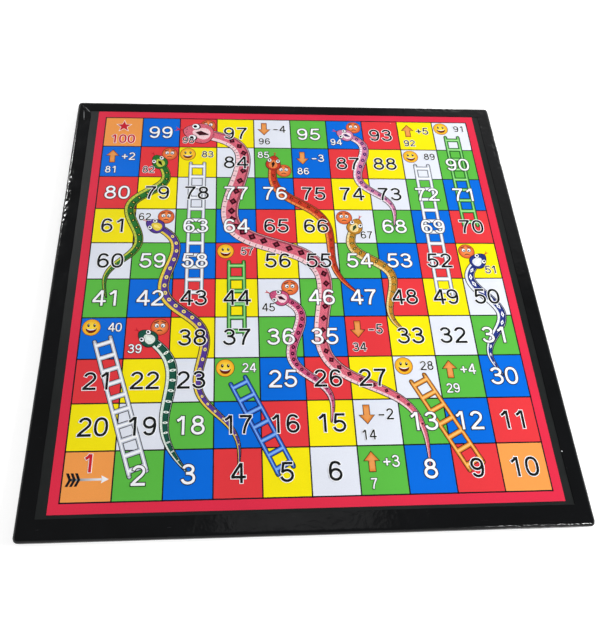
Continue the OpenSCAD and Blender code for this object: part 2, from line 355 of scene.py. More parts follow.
class Shader(Nodes):
    """A material with one Principled surface."""

    def __init__(self, name):
        self.material = bpy.data.materials.new(name)
        self.material.use_nodes = True
        super().__init__(self.material.node_tree)
        self.surface = self.group.nodes["Principled BSDF"].inputs
        self.place = self.put("ShaderNodeTexCoord", output="Object")

    def noise(self, scale, detail, distortion=0.0, place=None):
        inputs = {"Vector": place or self.place, "Scale": scale, "Detail": detail, "Distortion": distortion}
        return self.put("ShaderNodeTexNoise", inputs, "Fac")

    def spread(self, value, low, high, start=0.25, end=0.75):
        inputs = {"Value": value, "From Min": start, "From Max": end, "To Min": low, "To Max": high}
        return self.put("ShaderNodeMapRange", inputs)

    def mix(self, share, first, second):
        return self.put("ShaderNodeMix", {0: share, 6: first, 7: second}, 2, data_type="RGBA")

    def bright(self, colour, value):
        return self.put("ShaderNodeHueSaturation", {"Color": colour, "Value": value})

    def stretched(self, turn, times):
        inputs = {"Vector": self.place, "Rotation": (0, 0, turn), "Scale": (1, times, 1)}
        return self.put("ShaderNodeMapping", inputs)

    def specks(self, scale, radius, kept):
        """1 on specks of dust, 0 elsewhere."""
        distance, colour = self.fields("ShaderNodeTexVoronoi", {"Vector": self.place, "Scale": scale})[:2]
        red, green = self.fields("ShaderNodeSeparateColor", {"Color": colour})[:2]
        return self.math("LESS_THAN", distance, green * radius) * self.math("LESS_THAN", red, kept)

    def scuff(self, x, y, turn, long, wide):
        """1 on a pale mark of the given place, turn and size in millimetres, 0 elsewhere: partly a worn mark, partly
        a painted highlight.
        """
        inputs = {
            "Vector": self.place, "Location": (x * MM, y * MM, 0), "Rotation": (0, 0, math.radians(turn)),
            "Scale": (long * MM / 2, wide * MM / 2, 1),
        }
        mapped = self.put("ShaderNodeMapping", inputs, vector_type="TEXTURE")
        ragged = self.math("LENGTH", mapped) + self.noise(RAGGED, 3) * 0.9
        return self.spread(ragged, 1, 0, 0.9, 1.4)

    def bump(self, height, strength, distance):
        inputs = {"Height": height, "Strength": strength, "Distance": distance}
        self.feed(self.surface["Normal"], self.put("ShaderNodeBump", inputs))

    def finish(self, colour, roughness, specular):
        for key, value in (("Base Color", colour), ("Roughness", roughness), ("Specular IOR Level", specular)):
            self.feed(self.surface[key], value)
        return self.material

    def under_film(self, ink):
        """Ink under a satin film."""
        self.bump(self.noise(FILM_BUMPS, 3), 0.25, 0.04 * MM)
        return self.finish(ink, self.spread(self.noise(FILM_SHEEN, 3), 0.34, 0.50), 0.09)


INKS_MADE = {}


def made_once(make):
    """An ink is made when its name is first asked for."""

    def give(name, *values, **more):
        if name not in INKS_MADE:
            INKS_MADE[name] = make(Shader("printed_" + name), *values, **more)
        return INKS_MADE[name]

    return give


@made_once
def printed_ink(shader, colour, dust=0.02, variation=0.05, scales=0.0):
    """Ink with blotches, a fine dot grain, a little dust, and drawn scales where they are asked for."""
    blotch = shader.spread(shader.noise(BLOTCHES, 3), 1 - variation, 1 + variation)
    grain = shader.spread(shader.noise(DOT_GRAIN, 1), 1 - variation * 0.7, 1 + variation * 0.7)
    ink = shader.bright(colour, blotch * grain)
    if scales:
        inputs = {"Vector": shader.place, "Scale": SNAKE_SCALES}
        edge = shader.put("ShaderNodeTexVoronoi", inputs, "Distance", feature="DISTANCE_TO_EDGE")
        ink = shader.bright(ink, shader.spread(edge, 1 - scales, 1.04, 0.0, 0.22))
    return shader.under_film(shader.mix(shader.specks(*INK_SPECKS, dust), ink, INK_DUST))


@made_once
def toned_ink(shader, middle, edge):
    """Ink that darkens towards the rim of a disc or arrow, by the piece's own attribute."""
    tone = shader.put("ShaderNodeAttribute", output="Fac", attribute_name="tone")
    mixed = shader.mix(shader.math("POWER", tone, 1.6), middle, edge)
    return shader.under_film(shader.bright(mixed, shader.spread(shader.noise(DOT_GRAIN, 1), 0.97, 1.03)))


def clean_ink(inks, key):
    """One of the scene's inks, with no dust."""
    return printed_ink(key, getattr(inks, key), 0.0)


def gloss_tape(colour):
    """Glossy black vinyl with waves, dust, fine scratches, and a few pale marks that are partly scuffs and partly
    painted highlights.
    """
    shader = Shader("gloss_tape")
    base = shader.bright(colour, shader.spread(shader.noise(VINYL_CLOUDS, 4, 0.6), 0.7, 1.5))
    streaks = shader.noise(VINYL_SCRATCHES, 5, 0.3, shader.stretched(0.5, 26))
    scratch = shader.math("GREATER_THAN", streaks, 0.735)
    base = shader.mix(scratch * 0.08, base, SCRATCH)
    base = shader.mix(shader.specks(*TAPE_SPECKS), base, TAPE_DUST)
    # Pale marks painted into the colour, partly wear and partly painted highlights on creases and a bump
    for *mark, strength in SCUFFS_AND_GLINTS:
        base = shader.mix(shader.scuff(*mark) * strength, base, WORN_AND_GLINT)
    shader.bump(shader.noise(VINYL_WAVES, 3, 1.2) + shader.noise(VINYL_RIPPLES, 2) * 0.25, 0.5, 0.4 * MM)
    return shader.finish(base, shader.spread(shader.noise(VINYL_SHEEN, 4), 0.07, 0.20), 0.25)


def satin_margin(colour):
    """Printed black under a satin film, with handling marks."""
    shader = Shader("satin_margin")
    base = shader.bright(colour, shader.spread(shader.noise(MARGIN_CLOUDS, 4, 0.4), 0.8, 1.45))
    base = shader.mix(shader.specks(*MARGIN_SPECKS), base, MARGIN_DUST)
    shader.bump(shader.noise(MARGIN_BUMPS, 2), 0.3, 0.04 * MM)
    return shader.finish(base, shader.spread(shader.noise(MARGIN_SHEEN, 3), 0.36, 0.52), 0.18)


def backing_paper(colour):
    """Dark lining paper with fibres and rub marks."""
    shader = Shader("backing_paper")
    fibre = shader.noise(PAPER_FIBRES, 5, 1.5, shader.stretched(0.35, 7))
    cloud = shader.noise(PAPER_CLOUDS, 4, 0.5)
    base = shader.bright(colour, shader.spread(fibre, 0.72, 1.35) * shader.spread(cloud, 0.85, 1.2))
    base = shader.mix(shader.specks(*PAPER_SPECKS), base, PAPER_DUST)
    shader.bump(fibre, 0.5, 0.1 * MM)
    return shader.finish(base, shader.spread(cloud, 0.62, 0.82), 0.2)


def panel_fibre(colour):
    """Pressed fibreboard."""
    shader = Shader("panel_fibre")
    fibre = shader.noise(PANEL_FIBRES, 6, 2.0)
    shader.bump(fibre, 0.6, 0.3 * MM)
    base = shader.bright(colour, shader.spread(fibre, 0.7, 1.3))
    return shader.finish(base, shader.spread(fibre, 0.75, 0.92), 0.2)


# Meshes


def add_object(name, data):
    made = bpy.data.objects.new(name, data)
    bpy.context.scene.collection.objects.link(made)
    return made


def walls(low, high, count):
    """Faces between two rings of points, by the number of each ring's first point."""
    return [(low + i, low + (i + 1) % count, high + (i + 1) % count, high + i) for i in range(count)]


class Layers:
    """Closed shells gathered into one mesh, with a material for each."""

    def __init__(self, *materials):
        self.materials = list(materials)
        self.points, self.faces, self.inks, self.tones = [], [], [], []

    def shell(self, points, faces, ink, tones=None):
        first = len(self.points)
        self.points += [tuple(p) for p in points]
        self.faces += [tuple(first + i for i in face) for face in faces]
        self.inks += [ink] * len(faces)
        self.tones += list(tones) if tones is not None else [0.0] * len(points)

    def prism(self, outline, low, high, ink=0, tones=None):
        """A flat shape with its outline counter-clockwise, from one height to another."""
        count = len(outline)
        points = [(x, y, z) for z in (low, high) for x, y in outline]
        faces = [tuple(range(count - 1, -1, -1)), tuple(range(count, 2 * count))]
        self.shell(points, faces + walls(0, count, count), ink, tones)

    def domed(self, outline, low, high, ink=0, rings=(0.82, 0.55, 0.25)):
        """A prism whose top is cut into rings, so that its tone can run from the middle to the rim."""
        count, rings = len(outline), (1, *rings)
        cx, cy = (sum(p[i] for p in outline) / count for i in (0, 1))
        points = [(x, y, low) for x, y in outline]
        points += [(cx + (x - cx) * r, cy + (y - cy) * r, high) for r in rings for x, y in outline]
        tones = [1.0] * count + [r for r in rings for _ in range(count)]
        last = len(rings) * count
        faces = [tuple(range(count - 1, -1, -1))]
        for first in range(0, last, count):
            faces += walls(first, first + count, count)
        self.shell(points, faces + [tuple(range(last, last + count))], ink, tones)

    def mesh(self, mesh, ink):
        tones = [item.value for item in mesh.attributes["tone"].data] if "tone" in mesh.attributes else None
        self.shell([v.co for v in mesh.vertices], [tuple(p.vertices) for p in mesh.polygons], ink, tones)
        bpy.data.meshes.remove(mesh)

    def object(self, name):
        mesh = bpy.data.meshes.new(name)
        mesh.from_pydata(self.points, [], self.faces)
        for material in self.materials:
            mesh.materials.append(material)
        mesh.polygons.foreach_set("material_index", self.inks)
        if any(self.tones):
            mesh.attributes.new("tone", "FLOAT", "POINT").data.foreach_set("value", self.tones)
        mesh.validate()
        mesh.update()
        return add_object(name, mesh)


def keep(piece, slot, *nodes):
    """Ties a finished piece to the board, and hides the solids that it stands for."""
    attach(piece, "root")
    if nodes:
        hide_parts(*nodes)


def outward(mesh):
    """Merges doubles and turns every face of a closed mesh outwards."""
    shape = bmesh.new()
    shape.from_mesh(mesh)
    bmesh.ops.remove_doubles(shape, verts=shape.verts, dist=1e-7)
    bmesh.ops.dissolve_degenerate(shape, dist=1e-8, edges=shape.edges)
    bmesh.ops.recalc_face_normals(shape, faces=shape.faces)
    shape.to_mesh(mesh)
    shape.free()
    mesh.update()


def circle(x, y, rx, ry=None, count=32):
    ry = rx if ry is None else ry
    steps = [TURN * i / count for i in range(count)]
    return [(x + rx * math.cos(a), y + ry * math.sin(a)) for a in steps]


# Geometry Nodes


class Tree(Nodes):
    """A Geometry Nodes tree with named inputs, which ends in Realize Instances and Set Material."""

    def __init__(self, name, **keys):
        super().__init__(bpy.data.node_groups.new(name, "GeometryNodeTree"))
        face = self.group.interface
        for way in ("INPUT", "OUTPUT"):
            face.new_socket(name="Geometry", in_out=way, socket_type="NodeSocketGeometry")
        keys["Material"] = "Material"
        self.ids = {
            key: face.new_socket(name=key, in_out="INPUT", socket_type="NodeSocket" + kind).identifier
            for kind, names in keys.items() for key in names.split()
        }
        outputs = self.group.nodes.new("NodeGroupInput").outputs
        self.given = {key: Field(self, outputs[key]) for key in ("Geometry", *self.ids)}
        self.result = self.group.nodes.new("NodeGroupOutput").inputs[0]

    def combined(self, x=0.0, y=0.0, z=0.0):
        return self.put("ShaderNodeCombineXYZ", {"X": x, "Y": y, "Z": z})

    def parts(self, vector):
        return self.fields("ShaderNodeSeparateXYZ", {"Vector": vector})

    def turned(self, angle):
        return self.put("FunctionNodeEulerToRotation", {0: self.combined(z=angle)})

    def heading(self, vector):
        x, y, _ = self.parts(vector)
        return self.turned(self.math("ARCTAN2", y, x))

    def left_of(self, vector):
        return self.math("CROSS_PRODUCT", (0, 0, 1), vector)

    def levels(self):
        """Thickness and middle of a layer."""
        low, high = self.given["Low"], self.given["High"]
        return high - low, (low + high) * 0.5

    def box(self, x, y, z):
        return self.put("GeometryNodeMeshCube", {"Size": self.combined(x, y, z)})

    def row(self, count, start, end):
        inputs = {"Count": count, "Start Location": start, "Offset": end}
        return self.put("GeometryNodeMeshLine", inputs, mode="END_POINTS")

    def moved(self, geometry, **inputs):
        return self.put("GeometryNodeTransform", {"Geometry": geometry, **inputs})

    def repeated(self, points, shape, **inputs):
        return self.put("GeometryNodeInstanceOnPoints", {"Points": points, "Instance": shape, **inputs})

    def joined(self, shapes):
        join = self.node("GeometryNodeJoinGeometry")
        for shape in shapes:
            self.feed(join.inputs[0], shape)
        return Field(self, join.outputs[0])

    def end(self, geometry):
        solid = self.put("GeometryNodeRealizeInstances", {"Geometry": geometry})
        inputs = {"Geometry": solid, "Material": self.given["Material"]}
        self.feed(self.result, self.put("GeometryNodeSetMaterial", inputs))
        return self


def grow(tree, values, seed=None):
    """The plain mesh that a tree makes with these inputs."""
    host = add_object("growing", seed or bpy.data.meshes.new("growing"))
    modifier = host.modifiers.new("growing", "NODES")
    modifier.node_group = tree.group
    for key, value in values.items():
        modifier[tree.ids[key]] = value
    bpy.context.view_layer.update()
    made = bpy.data.meshes.new_from_object(host.evaluated_get(bpy.context.evaluated_depsgraph_get()))
    host.modifiers.remove(modifier)
    base = host.data
    bpy.data.objects.remove(host)
    bpy.data.meshes.remove(base)
    if not made.vertices:
        raise RuntimeError(f"{tree.group.name} made nothing")
    return made


def snake_tree(name, floats, ints):
    return Tree(name, Vector="Start Run", Float="Waves Swing Width Low High " + floats, Int=ints)


def snake_way(tree, share):
    """Spot, direction and half width of a snake at a share of its run."""
    run, swing = tree.given["Run"], tree.given["Swing"]
    turn = tree.given["Waves"] * TURN
    angle = turn * share
    fade = 1.0 - share * SWING_LOSS
    sine, cosine = tree.math("SINE", angle), tree.math("COSINE", angle)
    slope = swing * (turn * (cosine * fade) - sine * SWING_LOSS)
    side = tree.math("NORMALIZE", tree.left_of(run))
    spot = tree.given["Start"] + run * share + side * (swing * (sine * fade))
    way = tree.math("NORMALIZE", run + side * slope)
    neck = tree.math("MINIMUM", share / NECK_END, 1.0) * (1 - NECK) + NECK
    left = tree.math("MAXIMUM", 1.0 - tree.math("POWER", share, TAPER), 0.0)
    half = tree.given["Width"] * 0.5 * neck
    return spot, way, half * tree.math("POWER", left, TAPER_ROUND)


def ribbon_tree():
    """A flat ribbon along a snake: a share of its width, moved to one side and grown by a rim."""
    tree = snake_tree("Snake ribbon", "Share Aside Rim", "Steps")
    given = tree.given
    inputs = {"Size": (1, 2, 2), "Vertices X": given["Steps"], "Vertices Y": 2, "Vertices Z": 2}
    bar = tree.put("GeometryNodeMeshCube", inputs)
    x, y, z = tree.parts(tree.put("GeometryNodeInputPosition"))
    spot, way, half = snake_way(tree, x + 0.5)
    across = (half * given["Share"] + given["Rim"]) * y + half * given["Aside"]
    thick, _ = tree.levels()
    level = given["Low"] + (z + 1.0) * 0.5 * thick
    position = spot + tree.left_of(way) * across + tree.combined(z=level)
    laid = tree.put("GeometryNodeSetPosition", {"Geometry": bar, "Position": position})
    return tree.end(tree.put("GeometryNodeMergeByDistance", {"Geometry": laid, "Distance": 1e-6}))


def mark_tree():
    """Flat marks in a row along a snake, each sized by the body where it lies."""
    tree = snake_tree("Snake marks", "First Last Along Across Aside", "Count Corners")
    given = tree.given
    index = tree.put("GeometryNodeInputIndex") + 0.5
    share = given["First"] + (given["Last"] - given["First"]) * (index / given["Count"])
    spot, way, half = snake_way(tree, share)
    thick, middle = tree.levels()
    position = spot + tree.left_of(way) * (half * given["Aside"]) + tree.combined(z=middle)
    row = tree.put("GeometryNodePoints", {"Count": given["Count"], "Position": position})
    inputs = {"Vertices": given["Corners"], "Radius": 1.0, "Depth": 1.0}
    mark = tree.put("GeometryNodeMeshCylinder", inputs)
    size = tree.combined(half * given["Along"], half * given["Across"], thick)
    return tree.end(tree.repeated(row, mark, Rotation=tree.heading(way), Scale=size))


def ladder_tree():
    """A ladder from its foot along its run: two rails, and rungs between them, grown by a rim."""
    tree = Tree("Ladder", Vector="Foot Run", Float="Width Rail Rung End Rim Low High", Int="Rungs")
    given = tree.given
    rail, end = given["Rail"], given["End"]
    run = tree.math("LENGTH", given["Run"])
    growth = given["Rim"] * 2.0
    thick, middle = tree.levels()
    gauge, breadth = given["Width"] - rail, rail + growth
    bar = tree.box(run - rail, breadth, thick)
    inputs = {"Vertices": TIP_SIDES, "Radius": breadth * 0.5, "Depth": thick}
    tip = tree.put("GeometryNodeMeshCylinder", inputs)
    shapes = [
        tree.moved(shape, Translation=tree.combined(along, gauge * 0.5 * way, middle))
        for way in (1.0, -1.0)
        for shape, along in ((bar, run * 0.5), (tip, rail * 0.5), (tip, run - rail * 0.5))
    ]
    rung = tree.box(given["Rung"] + growth, gauge - rail - growth, thick)
    row = tree.row(given["Rungs"], tree.combined(end, 0.0, middle), tree.combined(run - end, 0.0, middle))
    shapes.append(tree.repeated(row, rung))
    solid = tree.put("GeometryNodeRealizeInstances", {"Geometry": tree.joined(shapes)})
    return tree.end(tree.moved(solid, Translation=given["Foot"], Rotation=tree.heading(given["Run"])))


def line_tree():
    """Lines of a square grid, along both its ways."""
    tree = Tree("Ruled lines", Vector="Middle", Float="Side Width Low High", Int="Squares")
    given = tree.given
    thick, middle = tree.levels()
    reach = given["Side"] * given["Squares"]
    half = reach * 0.5
    bar = tree.box(reach + given["Width"], given["Width"], thick)
    row = tree.row(given["Squares"] + 1.0, tree.combined(y=half * -1.0), tree.combined(y=half))
    ruled = tree.repeated(row, bar)
    both = tree.joined((ruled, tree.moved(ruled, Rotation=tree.turned(math.pi / 2))))
    return tree.end(tree.moved(both, Translation=given["Middle"] + tree.combined(z=middle)))


def scatter_tree():
    """A shape repeated at every point of a mesh, sized by the points' own attribute."""
    tree = Tree("Repeated shape", Object="Shape")
    size = tree.put("GeometryNodeInputNamedAttribute", {"Name": "size"}, data_type="FLOAT")
    shape = tree.put("GeometryNodeObjectInfo", {"Object": tree.given["Shape"]}, "Geometry")
    return tree.end(tree.repeated(tree.given["Geometry"], shape, Scale=tree.combined(size, size, 1.0)))


def union_tree():
    """Strokes that cross, joined into one closed shape."""
    tree = Tree("Joined strokes")
    inputs = {"Self Intersection": True, "Mesh": tree.given["Geometry"]}
    return tree.end(tree.put("GeometryNodeMeshBoolean", inputs, operation="UNION", solver="EXACT"))


def scatter(tree, shape, spots, material):
    """One mesh of a shape at every spot, which is x, y and a size. The shape itself is used up."""
    seed = bpy.data.meshes.new("spots")
    seed.from_pydata([(x, y, 0) for x, y, _ in spots], [], [])
    seed.attributes.new("size", "FLOAT", "POINT").data.foreach_set("value", [size for _, _, size in spots])
    made = grow(tree, {"Shape": shape, "Material": material}, seed)
    bpy.data.objects.remove(shape)
    return made


# Numerals: strokes in a box one high, by arcs, lines and cubic curves

DIGIT_STEM, BOLD_STEM = 0.136, 0.165
DIGIT_ADVANCE, DIGIT_MIDDLE = 0.774, 0.328
SMALL_RIM_SHARE = 0.65


def arc(x, y, rx, ry, start, end, count=20):
    steps = np.radians(np.linspace(start, end, count))
    return [(x + rx * math.cos(a), y + ry * math.sin(a)) for a in steps]


def oval(x, y, rx, ry, power=2.0, count=40):
    def bent(part):
        return math.copysign(abs(part) ** (2 / power), part)

    steps = [TURN * i / count for i in range(count)]
    return [(x + rx * bent(math.cos(a)), y + ry * bent(math.sin(a))) for a in steps]


def cubic(a, b, c, d, count=12):
    steps = np.linspace(0, 1, count)
    ways = ((1 - steps) ** 3, 3 * (1 - steps) ** 2 * steps, 3 * (1 - steps) * steps**2, steps**3)
    return [tuple(sum(w[i] * p[k] for w, p in zip(ways, (a, b, c, d))) for k in (0, 1)) for i in range(count)]


def digit_strokes(sign):
    """Centre lines of a numeral, as (points, closed)."""
    if sign == "9":
        return [([(2 * DIGIT_MIDDLE - x, 1 - y) for x, y in line], closed) for line, closed in digit_strokes("6")]
    bowl = arc(0.335, 0.703, 0.240, 0.236, 168, -24)
    sweep = arc(0.345, 0.737, 0.222, 0.202, 14, 128)
    fall = cubic(bowl[-1], (0.50, 0.46), (0.20, 0.27), (0.075, 0.065))
    side = cubic(sweep[-1], (0.11, 0.826), (0.072, 0.55), (0.085, 0.36))
    waist = [(0.22, 0.543)]
    closed = {
        "0": [oval(0.328, 0.5, 0.267, 0.439, 2.35)],
        "6": [oval(0.345, 0.318, 0.251, 0.257)],
        "8": [oval(0.328, 0.744, 0.208, 0.195), oval(0.328, 0.302, 0.265, 0.241)],
    }
    opened = {
        "1": [[(0.40, 0), (0.40, 1)], cubic((0.36, 0.985), (0.31, 0.88), (0.22, 0.80), (0.115, 0.745))],
        "2": [bowl + fall[1:], [(0.012, 0.061), (0.655, 0.061)]],
        "3": [
            arc(0.318, 0.742, 0.226, 0.197, 168, -88) + waist,
            waist + arc(0.318, 0.302, 0.273, 0.241, 88, -170),
        ],
        "4": [[(0.495, 0), (0.495, 1)], [(0.018, 0.2955), (0.70, 0.2955)], [(0.478, 0.985), (0.062, 0.318)]],
        "5": [
            [(0.13, 0.939), (0.612, 0.939)],
            [(0.185, 0.985), (0.110, 0.465)],
            arc(0.325, 0.325, 0.269, 0.264, 147, -168, 26),
        ],
        "6": [sweep + side[1:]],
        "7": [[(0.045, 0.939), (0.645, 0.939)], cubic((0.60, 0.92), (0.42, 0.72), (0.27, 0.36), (0.25, 0.0))],
        "+": [[(0.02, 0.45), (0.64, 0.45)], [(0.33, 0.14), (0.33, 0.76)]],
        "-": [[(0.08, 0.42), (0.58, 0.42)]],
    }
    return [(line, group is closed) for group in (closed, opened) for line in group.get(sign, ())]


def stroke_shell(line, closed, half, low, high, past=0.0):
    """A flat ribbon along a line, with square ends that run past it."""
    line = np.array(line, float)
    if closed:
        ways = np.roll(line, -1, 0) - np.roll(line, 1, 0)
    else:
        ways = np.gradient(line, axis=0)
        line[0] -= ways[0] / np.linalg.norm(ways[0]) * past
        line[-1] += ways[-1] / np.linalg.norm(ways[-1]) * past
    ways /= np.linalg.norm(ways, axis=1)[:, None]
    side = np.stack([-ways[:, 1], ways[:, 0]], 1) * half
    points, faces, count = [], [], len(line)
    for spot, out in zip(line, side):
        points += [(*(spot - out), low), (*(spot + out), low), (*(spot + out), high), (*(spot - out), high)]
    for i in range(count if closed else count - 1):
        faces += walls(4 * i, 4 * ((i + 1) % count), 4)
    if not closed:
        faces += [(3, 2, 1, 0), tuple(4 * (count - 1) + k for k in range(4))]
    return points, faces


def digit_shape(union, sign, stem, rim, low, high, height, stretch):
    """Template of one numeral about its middle, grown by a rim."""
    layer = Layers()
    for line, closed in digit_strokes(sign):
        placed = [((x - DIGIT_MIDDLE) * stretch * height, (y - 0.5) * height) for x, y in line]
        layer.shell(*stroke_shell(placed, closed, stem * height / 2 + rim, low, high, rim), 0)
    crossed = layer.object("strokes")
    outward(crossed.data)
    seed = crossed.data.copy()
    bpy.data.objects.remove(crossed)
    made = add_object("numeral", grow(union, {}, seed))
    outward(made.data)
    return made


# Where a disc and a small numeral go in a square with a head or a ladder's top

SNAKE_SPOTS, LADDER_SPOTS = 160, 60
DISC_MARGIN = 1.1 * MM


def snake_spots(node, row, sizes):
    """Points along a snake with the body's half width there."""
    head, tail, waves, way = row[:4]
    width, swing = width_and_swing(node, way, sizes)
    start, run = start_and_run(head, tail, sizes)
    side = Vector((-run.y, run.x, 0)).normalized()
    found = []
    for i in range(SNAKE_SPOTS + 1):
        t = i / SNAKE_SPOTS
        spot = start + run * t + side * swing * math.sin(TURN * waves * t) * (1 - SWING_LOSS * t)
        swell = NECK + (1 - NECK) * min(1, t / NECK_END)
        found.append((spot, width / 2 * swell * (1 - t**TAPER) ** TAPER_ROUND))
    facing = (found[0][0] - found[1][0]).normalized()
    head_and_tongue = ((-0.5, 0.62), (0, 0.62), (0.5, 0.62), (1.15, 0.15))
    return found + [(start + facing * width * ahead, width * half) for ahead, half in head_and_tongue]


def figure_spots(sizes):
    spots = [spot for node, row in SNAKES.items() for spot in snake_spots(node, row, sizes)]
    for *_, rows in LADDERS.values():
        for foot, top in rows:
            a, b = square_centre(foot, sizes.square_side), square_centre(top, sizes.square_side)
            spots += [(a.lerp(b, i / LADDER_SPOTS), sizes.ladder_width / 2) for i in range(LADDER_SPOTS + 1)]
    return spots


def free_corners(n, figures, sizes):
    """Corners of a square, the one with the most room first."""
    middle = square_centre(n, sizes.square_side)
    reach = sizes.square_side / 2 - sizes.disc_diameter / 2 - DISC_MARGIN
    corners = [middle + Vector((sx * reach, sy * reach, 0)) for sy in (1, -1) for sx in (-1, 1)]
    return sorted(corners, key=lambda c: -min((c - p).length - r for p, r in figures))


def shared_squares(sizes):
    """Squares at the heads of snakes and at the tops of ladders: is it a head, places of disc and numeral."""
    figures = figure_spots(sizes)
    heads = [row[0] for row in SNAKES.values()]
    tops = [top for *_, rows in LADDERS.values() for _, top in rows]
    return {n: (n in heads, *free_corners(n, figures, sizes)[:2]) for n in heads + tops}


# Tape: facets of its section and of half a corner, and how far a strip on top runs past the mitre

FACE_FACETS, ROUND_FACETS, SIDE_FACETS, TURN_FACETS, BEND_FACETS = 14, 10, 4, 10, 8
LAP = math.radians(11)
SHARP_ANGLE = math.radians(40)

# Lengths of the waves in millimetres, along the strip and round its section
BROAD_WAVE, FINE_WAVE, WRINKLE, CRUMPLE = (27, 13), (7.5, 6), (2.6, 17), (2.6, 1.8)

# Depths of the waves as shares of their full depth: the level, then each kind of wave
WAVE_LEVEL, BROAD_DEPTH, FINE_DEPTH, WRINKLE_DEPTH, DEEPEST = 0.42, 0.42, 0.22, 1.1, 1.5
WRINKLE_START, WRINKLE_LEAST = 0.18, 0.25

# The crumpled band: its depth, its reach to each side of the tape's outer edge, and the width of its fading
CRUMPLE_DEPTH, CRUMPLE_REACH, CRUMPLE_FADE = 0.30 * MM, (6.5 * MM, 3.5 * MM), (3 * MM, 2 * MM)

# Wandering of the cut edge: length in millimetres, place of its noise, and reach in millimetres
WANDER = ((24, 3, 0.28), (6, 8, 0.12))

# Where strips lap, in shares: the depth of the upper strip's inner face, the limit of the waves,
# how far they calm on top and underneath, and how deep the lower strip is pressed
LAP_INNER, WAVE_LIMIT, CALM_ON_TOP, CALM_UNDER, PRESSED = 0.30, 0.9, 0.75, 0.3, 0.36
END_ZONE, END_FADE = 70 * MM, 60 * MM

# By side of the board: turn, is it lapped over its neighbours, and the middle and half length of its crumpled part
STRIPS = {
    "near": (0, True, 165 * MM, 40 * MM),
    "far": (180, True, -150 * MM, 30 * MM),
    "left": (-90, False, -85 * MM, 48 * MM),
    "right": (90, False, 140 * MM, 30 * MM),
}


def tape_profile(radius, thickness, face, turn_in):
    """Points round an edge as (inset, height, outward inset, outward height), from the face to the turn-in."""
    top = thickness - radius

    def rounded(height, start):
        angles = [math.radians(start + 90 * i / ROUND_FACETS) for i in range(ROUND_FACETS + 1)]
        cuts = [(math.cos(a), math.sin(a)) for a in angles]
        return [(radius + radius * c, height + radius * s, c, s) for c, s in cuts]

    points = [(face + (radius - face) * i / FACE_FACETS, thickness, 0, 1) for i in range(FACE_FACETS)]
    points += rounded(top, 90)
    points += [(0, top + (radius - top) * i / SIDE_FACETS, -1, 0) for i in range(1, SIDE_FACETS)]
    points += rounded(radius, 180)
    return points + [(radius + (turn_in - radius) * i / TURN_FACETS, 0, 0, -1) for i in range(1, TURN_FACETS + 1)]


def smooth(value):
    value = min(1.0, max(0.0, value))
    return value * value * (3 - 2 * value)


